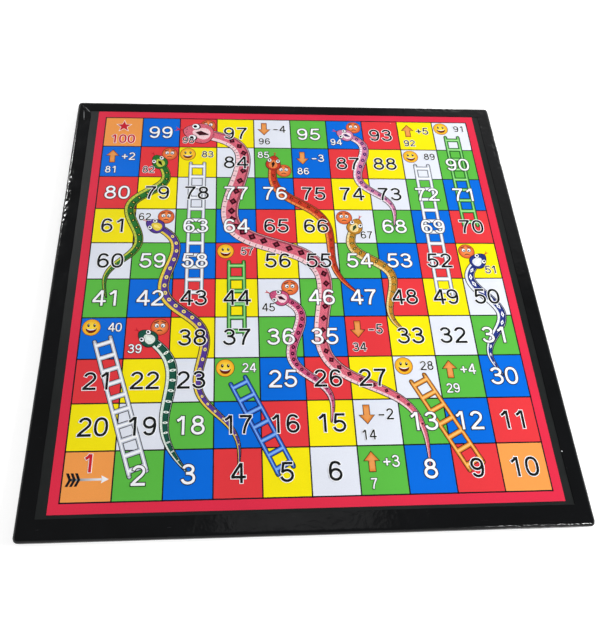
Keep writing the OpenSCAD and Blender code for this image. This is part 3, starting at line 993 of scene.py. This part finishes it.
def tape_strip(name, run, thickness, face, side, place, sizes, material, seed):
    """One strip of tape wrapped over an edge. A strip that lies over its neighbours runs past the mitre."""
    _, over, crumple_middle, crumple_half = STRIPS[side]
    corner, depth, radius = sizes.corner_radius, sizes.tape_thickness, sizes.edge_radius
    lap = LAP if over else 0
    reach = run / 2 - corner
    straight = max(20, round(2 * reach / sizes.tape_step))
    stations = [(-1, 1 - i / BEND_FACETS) for i in range(BEND_FACETS)]
    stations += [(0, -1 + 2 * i / straight) for i in range(straight + 1)]
    stations += [(1, (i + 1) / BEND_FACETS) for i in range(BEND_FACETS)]
    profile = tape_profile(radius, thickness, face, sizes.turn_in)
    travelled = [0.0]
    for a, b in zip(profile, profile[1:]):
        travelled.append(travelled[-1] + math.hypot(a[0] - b[0], a[1] - b[1]))

    def plan(station, inset):
        """Place from above at an inset from the outer skin."""
        end, share = station
        edge = reach - max(0.0, inset - corner) * math.tan(math.pi / 4 - lap)
        if end == 0:
            return share * edge, inset
        angle = share * (math.pi / 4 + lap)
        bend = max(0.0, corner - inset)
        return end * (edge + bend * math.sin(angle)), inset + bend * (1 - math.cos(angle))

    def crumpled(x, v):
        """Depth of the creases where the tape lies crumpled along its outer edge."""
        zone = smooth(2 - 2 * abs(x - crumple_middle) / crumple_half)
        inner, outer = CRUMPLE_REACH
        zone *= smooth((v - face + inner) / CRUMPLE_FADE[0]) * smooth((face + outer - v) / CRUMPLE_FADE[1])
        crease = noise.noise(Vector((x / MM / CRUMPLE[0], v / MM / CRUMPLE[1], seed + 0.5)))
        return CRUMPLE_DEPTH * zone * min(1.0, max(0.0, 0.45 + 1.1 * crease))

    def wave(x, v):
        """Depth of the tape's waves and wrinkles at a place along it, and round its section."""
        at = Vector((x / MM, v / MM, seed * 31.7))
        broad = noise.noise(Vector((at.x / BROAD_WAVE[0], at.y / BROAD_WAVE[1], at.z)))
        fine = noise.noise(Vector((at.x / FINE_WAVE[0], at.y / FINE_WAVE[1], at.z + 9)))
        near_end = smooth((abs(x) - reach + END_ZONE) / END_FADE)
        crease = noise.noise(Vector((at.x / WRINKLE[0] + broad * 2, at.y / WRINKLE[1], at.z + 21)))
        wrinkle = max(0.0, crease - WRINKLE_START) * (WRINKLE_LEAST + (1 - WRINKLE_LEAST) * near_end)
        share = WAVE_LEVEL + BROAD_DEPTH * broad + FINE_DEPTH * fine + WRINKLE_DEPTH * wrinkle
        return sizes.wave_depth * min(DEEPEST, max(0.0, share))

    def wobble(x):
        """How far the cut edge on the face strays."""
        return sum(far * noise.noise(Vector((x / MM / long, seed, z))) for long, z, far in WANDER) * MM

    def sunk(x, v, past, skin):
        """Depth below the smooth outer face: past is how far the place lies beyond the mitre."""
        if skin:
            return LAP_INNER * depth if over and past > 0 else depth
        if over:
            waves = min(wave(x, v), WAVE_LIMIT * sizes.wave_depth)
            waves *= 1 - CALM_ON_TOP * smooth((past + 1.5 * MM) / (2 * MM))
            return waves + crumpled(x, v) * (1 - smooth((past + 3 * MM) / (2 * MM)))
        waves = min(wave(x, v) + crumpled(x, v), WAVE_LIMIT * depth)
        waves *= 1 - CALM_UNDER * smooth((past + 4 * MM) / (3 * MM))
        return max(waves, PRESSED * depth * smooth((past + 2.6 * MM) / (0.9 * MM)))

    points, count = [], len(profile)
    for skin in (0, 1):
        for station in stations:
            for (inset, height, way_in, way_up), v in zip(profile, travelled):
                x, y = plan(station, inset)
                past = (abs(x) - reach + y - corner) / math.sqrt(2)
                if way_up > 0.99 and height > thickness / 2:
                    inset += wobble(x) * max(0.0, (inset - radius) / (face - radius))
                lowered = sunk(x, v, past, skin)
                x, y = plan(station, inset - way_in * lowered)
                points.append(place @ Vector((x, y, height - way_up * lowered)))
    rows, faces = len(stations), []
    half = rows * count
    for i in range(rows - 1):
        for j in range(count - 1):
            a, b = i * count + j, (i + 1) * count + j
            faces += [(a, a + 1, b + 1, b), (half + a, half + b, half + b + 1, half + a + 1)]
        for j in (0, count - 1):
            a, b = i * count + j, (i + 1) * count + j
            faces.append((a, b, half + b, half + a))
    for first in (0, (rows - 1) * count):
        faces += [(a, a + 1, half + a + 1, half + a) for a in range(first, first + count - 1)]
    layer = Layers(material)
    layer.shell(points, faces, 0)
    made = layer.object(name)
    outward(made.data)
    made.data.shade_smooth()
    made.data.set_sharp_from_angle(angle=SHARP_ANGLE)
    return made


# Operators


class BOARD_OT_print_inks(bpy.types.Operator):
    """Gives the panel, the sheets, the border and the squares their inks and papers"""

    bl_idname = "board.print_inks"
    bl_label = "Print the squares"

    def execute(self, context):
        inks = context.scene.board_inks
        finishes = {
            "core_panel": panel_fibre(inks.panel),
            "print_sheet": satin_margin(inks.black),
            "backing_sheet": backing_paper(inks.backing),
            "border_red": printed_ink("border", inks.border, 0.10, 0.07),
        }
        for colour in (*CYCLE, "orange"):
            finishes["squares_" + colour] = printed_ink(colour, getattr(inks, colour))
        for node, finish in finishes.items():
            mesh = frame["nodes"][node].data
            mesh.materials.clear()
            mesh.materials.append(finish)
        return {"FINISHED"}


class BOARD_OT_rule_lines(bpy.types.Operator):
    """Rules the dark lines round the squares"""

    bl_idname = "board.rule_lines"
    bl_label = "Rule the lines"

    def execute(self, context):
        sizes = context.scene.board_sizes
        line = clean_ink(context.scene.board_inks, "line")
        values = {
            "Middle": Vector((GRID_X, GRID_Y, 0)), "Side": sizes.square_side, "Squares": ROWS,
            "Width": sizes.line_width, "Low": FACE - SINK, "High": FACE + LINE_TOP, "Material": line,
        }
        layer = Layers(line)
        layer.mesh(grow(line_tree(), values), 0)
        keep(layer.object("ruled_lines"), "print_black")
        return {"FINISHED"}


class BOARD_OT_bind_edges(bpy.types.Operator):
    """Wraps the four edges in gloss tape, with the near and far strips lapped over the side strips"""

    bl_idname = "board.bind_edges"
    bl_label = "Bind the edges"

    def execute(self, context):
        sizes, tape = context.scene.board_sizes, gloss_tape(context.scene.board_inks.tape)
        low, high = CAD_BOX
        width, depth, thickness = high.x - low.x, high.y - low.y, high.z - low.z
        for step, side in enumerate(STRIPS):
            run, across = (width, depth) if side in ("near", "far") else (depth, width)
            turn = Matrix.Rotation(math.radians(STRIPS[side][0]), 4, "Z")
            place = turn @ Matrix.Translation((0, -across / 2, 0))
            face = getattr(sizes, "face_" + side)
            made = tape_strip("tape_" + side, run, thickness, face, side, place, sizes, tape, sizes.seed + step)
            keep(made, "tape_black", "binding_" + side)
        return {"FINISHED"}


class BOARD_OT_draw_ladders(bpy.types.Operator):
    """Draws each colour of ladder, with a dark outline and a lit face"""

    bl_idname = "board.draw_ladders"
    bl_label = "Draw the ladders"

    def execute(self, context):
        sizes, inks = context.scene.board_sizes, context.scene.board_inks
        tree = ladder_tree()
        tops = ((sizes.outline, LADDER_RIM), (0.0, LADDER_BODY), (-LIT_INSET * sizes.outline, LADDER_LIGHT))
        for node, (shade, lit, rows) in LADDERS.items():
            layer = Layers(
                clean_ink(inks, "line"),
                printed_ink(node + "_shade", linear(shade)),
                printed_ink(node + "_lit", linear(lit)),
            )
            for foot, top in rows:
                start, run = start_and_run(foot, top, sizes)
                rungs = math.ceil((run.length - 2 * sizes.rail_end) / sizes.rung_pitch) + 1
                low = FACE - SINK
                for ink, (rim, high) in enumerate(tops):
                    values = {
                        "Foot": start, "Run": run, "Width": sizes.ladder_width, "Rail": sizes.rail_width,
                        "Rung": sizes.rung_width, "Rungs": rungs, "End": sizes.rail_end, "Rim": rim,
                        "Low": low, "High": FACE + high, "Material": layer.materials[ink],
                    }
                    layer.mesh(grow(tree, values), ink)
                    low = FACE + high - SINK
            keep(layer.object("drawn_" + node), slot_of(node), node)
        return {"FINISHED"}


# Inks of a snake, by their place in its list of materials
RIM_INK, BELLY_INK, BACK_INK, MARK_INK, CORE_INK, EYE_INK, TONGUE_INK, SHADE_INK = range(8)
BELLY_SCALES, BACK_SCALES = 0.20, 0.34
SNAKE_OUTLINE = 1.15


class BOARD_OT_draw_snakes(bpy.types.Operator):
    """Draws each snake along its wave: outline, belly, back, marks, head, eyes and tongue"""

    bl_idname = "board.draw_snakes"
    bl_label = "Draw the snakes"

    def execute(self, context):
        sizes, inks = context.scene.board_sizes, context.scene.board_inks
        ribbon, marks = ribbon_tree(), mark_tree()
        ribbons = (
            (RIM_INK, 1.0, 0.0, SNAKE_OUTLINE * sizes.outline, FACE - SINK, SNAKE_RIM),
            (BELLY_INK, 1.0, 0.0, 0.0, FACE + SNAKE_RIM - SINK, SNAKE_BODY),
            (BACK_INK, BACK_SHARE, BACK_ASIDE, 0.0, FACE + SNAKE_BODY - SINK, SNAKE_BACK),
            (SHADE_INK, SHADE_SHARE, SHADE_ASIDE, 0.0, FACE + SNAKE_BACK - SINK, SNAKE_SHADE),
        )
        belly_edge = (BACK_ASIDE - BACK_SHARE - 1) / 2
        for node, (head, tail, waves, way, (corners, pace, along, across), texts) in SNAKES.items():
            layer = Layers(*self.materials(node, texts, inks))
            width, swing = width_and_swing(node, way, sizes)
            start, run = start_and_run(head, tail, sizes)
            shared = {"Start": start, "Run": run, "Waves": float(waves), "Width": width, "Swing": swing}
            for ink, share, aside, rim, low, high in ribbons:
                values = {
                    "Share": share, "Aside": aside, "Rim": rim, "Steps": int(waves * STEPS_TO_A_WAVE) + 1,
                    "Low": low, "High": FACE + high, "Material": layer.materials[ink],
                }
                layer.mesh(grow(ribbon, shared | values), ink)
            count, across = int(waves * pace), across * BACK_SHARE
            plates = int(waves * pace * PLATES)
            rows = (
                (MARK_INK, count, corners, along * MARK_LONG, across, BACK_ASIDE, SNAKE_BACK, SNAKE_MARK),
                (CORE_INK, count, corners, along * CORE_LONG, across * CORE_WIDE, BACK_ASIDE, SNAKE_MARK, SNAKE_CORE),
                (MARK_INK, plates, 4, PLATE_LINE, 1 + belly_edge, belly_edge, SNAKE_BODY, SNAKE_BACK),
            )
            for ink, number, sides, long, wide, aside, low, high in rows:
                values = {
                    "First": MARKS_FROM, "Last": MARKS_TO, "Count": number, "Corners": sides,
                    "Along": long, "Across": wide, "Aside": aside,
                    "Low": FACE + low - SINK, "High": FACE + high, "Material": layer.materials[ink],
                }
                layer.mesh(grow(marks, shared | values), ink)
            self.head(layer, start, run, waves, swing, width, sizes.outline)
            keep(layer.object("drawn_" + node), slot_of(node), node)
        return {"FINISHED"}

    def materials(self, node, texts, inks):
        belly, back, mark, core = (linear(text) for text in texts)
        return (
            clean_ink(inks, "line"),
            printed_ink(node + "_belly", belly, scales=BELLY_SCALES),
            printed_ink(node + "_back", back, scales=BACK_SCALES),
            printed_ink(node + "_mark", mark),
            printed_ink(node + "_core", core),
            clean_ink(inks, "paper"),
            clean_ink(inks, "crimson"),
            printed_ink(node + "_shade", [SHADE_TONE * part for part in back], scales=BACK_SCALES),
        )

    def head(self, layer, start, run, waves, swing, width, rim):
        """An egg with its narrow end forwards, with eyes, nostrils and a forked tongue, in shares of the head."""
        side = Vector((-run.y, run.x, 0)).normalized()
        facing = -(run + side * swing * 2 * math.pi * waves).normalized()
        long, wide = HEAD_LENGTH * width, HEAD_WIDTH * width

        def lay(outline, low, high, ink):
            placed = [
                (start.x + facing.x * x - facing.y * y, start.y + facing.y * x + facing.x * y) for x, y in outline
            ]
            layer.prism(placed, FACE + low - SINK, FACE + high, ink)

        def egg(length, breadth, count=40):
            steps = [TURN * i / count for i in range(count)]
            return [
                (length / 2 * math.cos(a), breadth / 2 * math.sin(a) * (1 - SNOUT / 2 * math.cos(a))) for a in steps
            ]

        tip, thin = long / 2, 0.035 * wide
        near_side = [(tip - 2 * thin, -thin), (tip + 0.16 * long, -thin), (tip + 0.29 * long, -3.4 * thin)]
        tongue = near_side + [(tip + 0.21 * long, 0)] + [(x, -y) for x, y in near_side[::-1]]
        lay(tongue, 0, SNAKE_RIM, TONGUE_INK)
        lay(egg(long + 2 * rim, wide + 2 * rim), SNAKE_RIM, SNAKE_BACK, RIM_INK)
        lay(egg(long, wide), SNAKE_BACK, SNAKE_MARK, BACK_INK)
        lay([(x - 0.10 * long, y) for x, y in egg(0.60 * long, 0.60 * wide)], SNAKE_MARK, SNAKE_CORE, BELLY_INK)
        blaze = ((-0.34, -0.02), (-0.06, -0.13), (0.10, 0), (-0.06, 0.13), (-0.34, 0.02))
        lay([(x * long, y * wide) for x, y in blaze], SNAKE_CORE, SNAKE_CORE + 0.015 * MM, MARK_INK)
        for way in (-1, 1):
            for step, (ink, size) in enumerate(((RIM_INK, 0.165), (EYE_INK, 0.135), (RIM_INK, 0.07))):
                low = SNAKE_MARK + step * FINE_STEP
                x, y = 0.13 * long + 0.02 * step * long, way * 0.31 * wide
                lay(circle(x, y, size * wide * 1.12, size * wide, 24), low, low + FINE_STEP, ink)
            nostril = circle(0.40 * long, way * 0.085 * wide, 0.028 * wide, 0.02 * wide, 12)
            lay(nostril, SNAKE_MARK, SNAKE_MARK + FINE_STEP, RIM_INK)


LINE, DISC, PAPER, MOUTH = range(4)

# Place and size of the arrow in a square with a count of steps, and of the long arrow, as shares of the square
ARROW_SPOT, ARROW_SIZE, LONG_ARROW_DROP = (-0.22, 0.17), 0.40, 0.06


class BOARD_OT_stamp_signs(bpy.types.Operator):
    """Stamps face discs at ladder tops and snake heads, arrows with counts, and the first and last signs"""

    bl_idname = "board.stamp_signs"
    bl_label = "Stamp the signs"

    def execute(self, context):
        sizes, inks = context.scene.board_sizes, context.scene.board_inks
        line, paper, mouth, crimson = (clean_ink(inks, key) for key in ("line", "paper", "mouth", "crimson"))
        happy = toned_ink("disc_happy", inks.happy, linear(HAPPY_RIM))
        sad = toned_ink("disc_sad", inks.sad, linear(SAD_RIM))
        tree = scatter_tree()
        side = sizes.square_side
        places = shared_squares(sizes).values()
        discs = (("discs_happy", False, happy, "ink_yellow"), ("discs_sad", True, sad, "ink_orange"))
        for name, is_sad, material, slot in discs:
            spots = [(spot.x, spot.y, sizes.disc_diameter / 2) for is_head, spot, _ in places if is_head == is_sad]
            layer = Layers(line, material, paper, mouth)
            for ink, template in self.disc(is_sad):
                if template.points:
                    layer.mesh(scatter(tree, template.object("template"), spots, layer.materials[ink]), ink)
            keep(layer.object(name), slot)
        layer = Layers(line, toned_ink("arrow_ink", inks.arrow, linear(ARROW_RIM)), paper)
        for n, steps in STEPS.items():
            self.arrow(layer, square_centre(n, side), side, 90 if steps > 0 else -90)
        keep(layer.object("step_arrows"), "ink_orange")
        layer = Layers(line, crimson, paper, toned_ink("arrow_shaft", inks.paper, inks.black))
        self.start_arrow(layer, square_centre(1, side), side)
        self.star(layer, square_centre(100, side), side)
        keep(layer.object("end_signs"), "ink_red")
        return {"FINISHED"}

    def disc(self, is_sad):
        """Templates one unit in radius, each with the number of its ink: rim, face, eyes and mouth."""
        heights = [FACE - SINK] + [FACE + top for top in (SIGN_RIM, SIGN_BODY, SIGN_MARK)]
        heights += [FACE + SIGN_MARK + FINE_STEP]
        heights += [heights[-1] + FINE_STEP]
        parts = {ink: Layers() for ink in (LINE, DISC, PAPER, MOUTH)}

        def put(ink, outline, level):
            parts[ink].prism(outline, heights[level] - SINK, heights[level + 1])

        put(LINE, circle(0, 0, 1, count=44), 0)
        parts[DISC].domed(circle(0, 0, 0.95, count=44), heights[1] - SINK, heights[2])
        for way in (-1, 1):
            if is_sad:
                put(LINE, circle(way * 0.33, 0.16, 0.27, count=24), 2)
                put(PAPER, circle(way * 0.33, 0.16, 0.215, count=24), 3)
                put(LINE, circle(way * 0.29, 0.10, 0.10, count=16), 4)
                brow = [(way * 0.14, 0.60), (way * 0.64, 0.42), (way * 0.66, 0.52), (way * 0.16, 0.71)]
                put(LINE, brow if way > 0 else brow[::-1], 2)
            else:
                put(LINE, circle(way * 0.32, 0.24, 0.135, 0.20, 20), 2)
                put(PAPER, circle(way * 0.32 + 0.035, 0.32, 0.05, 0.06, 12), 3)
        if is_sad:
            put(LINE, self.crescent(-0.78, 0.40, 40, 140, 0.06), 2)
        else:
            upper = [(0.60 * math.cos(a), -0.08 - 0.14 * math.sin(a)) for a in np.linspace(0, math.pi, 13)]
            lower = [(0.60 * math.cos(a), -0.08 - 0.60 * math.sin(a)) for a in np.linspace(math.pi, 0, 13)]
            put(MOUTH, (upper + lower[1:-1])[::-1], 2)
            teeth = [(0.88 * x, y - 0.03 - 0.10 * (1 - (x / 0.60) ** 2)) for x, y in upper[::-1]]
            put(PAPER, ([(0.88 * x, y - 0.02) for x, y in upper] + teeth[1:-1])[::-1], 3)
        return parts.items()

    def crescent(self, y, bend, start, end, thick, count=15):
        """A bowed line that thins towards its ends."""
        steps = np.radians(np.linspace(start, end, count))
        swell = [thick * math.sin(math.pi * (0.12 + 0.76 * i / (count - 1))) for i in range(count)]
        outer, inner = (
            [((bend + way * t) * math.cos(a), y + (bend + way * t) * math.sin(a)) for a, t in zip(steps, swell)]
            for way in (1, -1)
        )
        return outer + inner[::-1]

    def arrow(self, layer, middle, side, turn):
        """A broad arrow with a dark rim, beside a count of steps."""
        size = ARROW_SIZE * side
        x, y = middle.x + ARROW_SPOT[0] * side, middle.y + ARROW_SPOT[1] * side
        c, s = math.cos(math.radians(turn)), math.sin(math.radians(turn))

        def placed(back, neck, tip, stem, barb):
            near = [(back, -stem), (neck, -stem), (neck, -barb)]
            outline = near + [(tip, 0)] + [(a, -b) for a, b in near[::-1]]
            return [(x + size * (c * a - s * b), y + size * (s * a + c * b)) for a, b in outline]

        layer.prism(placed(-0.535, 0.025, 0.555, 0.195, 0.455), FACE - SINK, FACE + SIGN_RIM, 0)
        body = placed(-0.5, 0.06, 0.5, 0.16, 0.38)
        layer.domed(body, FACE + SIGN_RIM - SINK, FACE + SIGN_BODY, 1, (0.9, 0.6))

    def start_arrow(self, layer, middle, side):
        """A long arrow under the first numeral, dark at its feathers and pale at its tip."""
        low, high = FACE - SINK, FACE + SIGN_BODY

        def placed(outline):
            return [(middle.x + x * side, middle.y + (y - LONG_ARROW_DROP) * side) for x, y in outline]

        shaft = ((-0.34, -0.026), (0.28, -0.022), (0.28, 0.022), (-0.34, 0.026))
        layer.prism(placed(shaft), low, high, 3, [1.0, 0.25, 0.25, 1.0] * 2)
        tip = ((0.27, -0.078), (0.42, 0), (0.27, 0.078), (0.29, 0))
        layer.prism(placed(tip), low, high, 3, [0.2, 0.0, 0.2, 0.1] * 2)
        for k in range(3):
            a = -0.43 + 0.088 * k
            feather = ((a, -0.13), (a + 0.055, -0.13), (a + 0.115, 0), (a + 0.055, 0.13), (a, 0.13), (a + 0.06, 0))
            layer.prism(placed(feather), low, high + 0.01 * MM, 0)

    def star(self, layer, middle, side, points=5):
        """A star over the last numeral."""
        for ink, size, low, high in ((2, 0.225, -SINK, SIGN_RIM), (1, 0.19, SIGN_RIM - SINK, SIGN_BODY)):
            outline = []
            for i in range(2 * points):
                a = math.radians(90 + 180 / points * i)
                r = size * side * (1 if i % 2 == 0 else 0.42)
                outline.append((middle.x + r * math.cos(a), middle.y + 0.20 * side + r * math.sin(a)))
            layer.prism(outline, FACE + low, FACE + high, ink)


class BOARD_OT_set_numerals(bpy.types.Operator):
    """Prints the numbers of the squares over everything else, each with its rim"""

    bl_idname = "board.set_numerals"
    bl_label = "Set the numerals"

    def execute(self, context):
        sizes, inks = context.scene.board_sizes, context.scene.board_inks
        styles = {
            "pale": ("paper", "line", "ink_white", sizes.dark_rim, DIGIT_STEM),
            "dark": ("black", "paper", "print_black", sizes.pale_rim, DIGIT_STEM),
            "red": ("crimson", "paper", "ink_red", sizes.pale_rim, BOLD_STEM),
        }
        union, tree = union_tree(), scatter_tree()
        wanted = self.numbering(sizes)
        for style, (ink, rim_ink, slot, rim, stem) in styles.items():
            layer = Layers(clean_ink(inks, rim_ink), clean_ink(inks, ink))
            levels = ((rim, FACE - SINK, FACE + DIGIT_RIM), (0.0, FACE + DIGIT_RIM - SINK, FACE + DIGIT_BODY))
            for sign in "0123456789+-":
                spots = [row[2:] for row in wanted if row[:2] == (style, sign)]
                for index, (grown, low, high) in enumerate(levels):
                    for height in sorted({size for _, _, size in spots}):
                        is_full = height == round(sizes.numeral_height, 6)
                        stretch, share = (sizes.numeral_stretch, 1.0) if is_full else (1.0, SMALL_RIM_SHARE)
                        shape = digit_shape(union, sign, stem, grown * share, low, high, height, stretch)
                        here = [(x, y, 1.0) for x, y, size in spots if size == height]
                        layer.mesh(scatter(tree, shape, here, layer.materials[index]), index)
            keep(layer.object("numerals_" + style), slot)
        return {"FINISHED"}

    def numbering(self, sizes):
        """Every sign to print: style, sign, place and height."""
        side, wanted = sizes.square_side, []
        full, small = sizes.numeral_height, sizes.small_height
        shared = shared_squares(sizes)

        def write(text, style, x, y, height):
            pitch = DIGIT_ADVANCE * height * (sizes.numeral_stretch if height == full else 1.0)
            for i, sign in enumerate(text):
                wanted.append((style, sign, x + (i - (len(text) - 1) / 2) * pitch, y, round(height, 6)))

        for n in range(1, ROWS * ROWS + 1):
            x, y, _ = square_centre(n, side)
            is_pale = n in PALE_ON_RED or (square_ink(n) in ("green", "blue") and n not in DARK_ON_BLUE)
            style = "pale" if is_pale else "dark"
            if n == 1:
                write("1", "red", x, y + 0.26 * side, 0.92 * full)
            elif n == ROWS * ROWS:
                write("100", "red", x, y - 0.24 * side, 0.72 * full)
            elif n in STEPS:
                write(str(n), style, x - 0.22 * side, y - 0.27 * side, small)
                write(f"{STEPS[n]:+d}", style, x + 0.19 * side, y + 0.17 * side, 1.15 * small)
            elif n in shared:
                write(str(n), style, shared[n][2].x, shared[n][2].y, small)
            else:
                write(str(n), style, x, y, full)
        return wanted


# Soft panels of light: place, aim, size, power. Lamps light the board, and cards only show in its gloss.
LAMPS = {
    "key_lamp": ((1.15, -0.05, 0.62), (0.1, 0, 0), (0.5, 0.5), 20.4),
    "far_lamp": ((0.15, 1.50, 0.50), (0, 0.05, 0), (0.7, 0.4), 11.0),
    "fill_lamp": ((-0.95, -0.60, 1.05), (0, 0, 0), (0.9, 0.9), 4.4),
    "sheen_card": ((0.70, 0.90, 0.82), (0.15, 0.1, 0), (0.6, 0.6), 0.45),
    "edge_card": ((-0.72, 0.70, 0.62), (-0.2, 0.10, 0), (0.15, 0.18), 5.6),
    "glint_card": ((0.77, -0.87, 0.90), (0.17, -0.19, 0), (0.16, 0.12), 7.0),
    "ceiling_card": ((0.14, -0.05, 1.40), (0.14, -0.05, 0), (0.48, 0.20), 0.2),
}
WORLD_STRENGTH = 0.27

# The floor: radius where it starts to turn up, radius of the bend, height of the wall, gap under the board
FLOOR_RADIUS, FLOOR_BEND, WALL_TOP, FLOOR_GAP, FLOOR_SIDES = 2.2, 0.8, 2.0, 0.2 * MM, 48
FLOOR_GREY = (0.50, 0.50, 0.50)
FLOOR_GLOW = (0.74, 0.96, 0.7, 2.2)  # near and far strength, and where it rises

# The camera: azimuth, elevation and roll in degrees, place from the middle of the squares and height
CAMERA_TURN, CAMERA_PLACE = (8.23, 64.39, 7.10), (-53.65 * MM, -225.0 * MM, 420.8 * MM)
CAMERA_SHIFT, LENS, SENSOR = (0.0475, -0.0059), 32.05, 36


class BOARD_OT_lay_stage(bpy.types.Operator):
    """Lays the floor and sets the lights and the camera"""

    bl_idname = "board.lay_stage"
    bl_label = "Lay the stage"

    def execute(self, context):
        scene = context.scene
        scene.view_settings.view_transform = "Standard"
        scene.world = bpy.data.worlds.new("studio")
        scene.world.use_nodes = True
        background = scene.world.node_tree.nodes["Background"].inputs
        background["Color"].default_value = (1, 1, 1, 1)
        background["Strength"].default_value = WORLD_STRENGTH
        self.floor()
        for name, values in LAMPS.items():
            self.lamp(name, *values)
        self.camera(scene)
        return {"FINISHED"}

    def floor(self):
        """A round floor that turns up into a wall, far out."""
        bends = [(math.sin(a), 1 - math.cos(a)) for a in np.radians((22, 45, 68, 90))]
        rings = [(FLOOR_RADIUS + FLOOR_BEND * s, FLOOR_BEND * c) for s, c in bends]
        rings = [(FLOOR_RADIUS, 0.0), *rings, (FLOOR_RADIUS + FLOOR_BEND, WALL_TOP)]
        level, sides = CAD_BOX[0].z - FLOOR_GAP, FLOOR_SIDES
        points = [(x, y, level + z) for r, z in rings for x, y in circle(0, 0, r, count=sides)]
        faces = [tuple(range(sides))]
        for first in range(0, (len(rings) - 1) * sides, sides):
            faces += [(a, d, c, b) for a, b, c, d in walls(first, first + sides, sides)]
        mesh = bpy.data.meshes.new("floor")
        mesh.from_pydata(points, [], faces)
        mesh.shade_smooth()
        floor = add_object("floor", mesh)
        shader = Shader("studio_floor")
        path = shader.node("ShaderNodeLightPath").outputs
        rays = ("Is Camera Ray", "Is Glossy Ray", "Is Transmission Ray")
        camera, gloss, through = (Field(shader, path[ray]) for ray in rays)
        seen = shader.math("MAXIMUM", camera, shader.math("MAXIMUM", gloss, through))
        glow = shader.spread(shader.math("LENGTH", shader.place), *FLOOR_GLOW)
        shader.feed(shader.surface["Emission Color"], (1, 1, 1))
        shader.feed(shader.surface["Emission Strength"], seen * glow)
        mesh.materials.append(shader.finish(FLOOR_GREY, 0.9, 0.0))

    def lamp(self, name, place, aim, size, power):
        light = bpy.data.lights.new(name, "AREA")
        light.shape = "RECTANGLE"
        light.size, light.size_y = size
        light.energy = power
        lamp = add_object(name, light)
        lamp.location = place
        lamp.rotation_mode = "QUATERNION"
        lamp.rotation_quaternion = (Vector(aim) - Vector(place)).to_track_quat("-Z", "Y")
        lamp.visible_diffuse, lamp.visible_glossy = name.endswith("lamp"), name.endswith("card")

    def camera(self, scene):
        """A near, steep view with a small turn about its own axis."""
        data = bpy.data.cameras.new("camera")
        data.lens, data.sensor_width = LENS, SENSOR
        data.shift_x, data.shift_y = CAMERA_SHIFT
        data.clip_start, data.clip_end = 0.01, 50
        azimuth, elevation, roll = (math.radians(a) for a in CAMERA_TURN)
        flat = math.cos(elevation)
        forward = Vector((math.sin(azimuth) * flat, math.cos(azimuth) * flat, -math.sin(elevation)))
        level = Vector((math.cos(azimuth), -math.sin(azimuth), 0))
        up = level.cross(forward)
        right = math.cos(roll) * level + math.sin(roll) * up
        above = -math.sin(roll) * level + math.cos(roll) * up
        x, y, z = CAMERA_PLACE
        scene.camera = add_object("camera", data)
        turn = Matrix((right, above, -forward)).transposed()
        scene.camera.matrix_world = Matrix.Translation((GRID_X + x, GRID_Y + y, z)) @ turn.to_4x4()


STEPS_IN_ORDER = (
    "print_inks", "rule_lines", "bind_edges", "draw_ladders",
    "draw_snakes", "stamp_signs", "set_numerals", "lay_stage",
)


class BOARD_PT_looks(bpy.types.Panel):
    """Steps and values of the board's looks"""

    bl_label = "Snakes and ladders board"
    bl_idname = "BOARD_PT_looks"
    bl_space_type = "VIEW_3D"
    bl_region_type = "UI"
    bl_category = "Board"

    def draw(self, context):
        for step in STEPS_IN_ORDER:
            self.layout.operator("board." + step)
        for group in (context.scene.board_sizes, context.scene.board_inks):
            box = self.layout.box()
            for key in group.__annotations__:
                box.prop(group, key)


CLASSES = (
    BOARD_PG_sizes, BOARD_PG_inks, BOARD_OT_print_inks, BOARD_OT_rule_lines, BOARD_OT_bind_edges,
    BOARD_OT_draw_ladders, BOARD_OT_draw_snakes, BOARD_OT_stamp_signs, BOARD_OT_set_numerals, BOARD_OT_lay_stage,
    BOARD_PT_looks,
)


def register():
    for kind in CLASSES:
        bpy.utils.register_class(kind)
    bpy.types.Scene.board_sizes = PointerProperty(type=BOARD_PG_sizes)
    bpy.types.Scene.board_inks = PointerProperty(type=BOARD_PG_inks)


def unregister():
    del bpy.types.Scene.board_sizes, bpy.types.Scene.board_inks
    for kind in reversed(CLASSES):
        bpy.utils.unregister_class(kind)


def main():
    register()
    for step in STEPS_IN_ORDER:
        getattr(bpy.ops.board, step)()


if __name__ == "__main__":
    main()
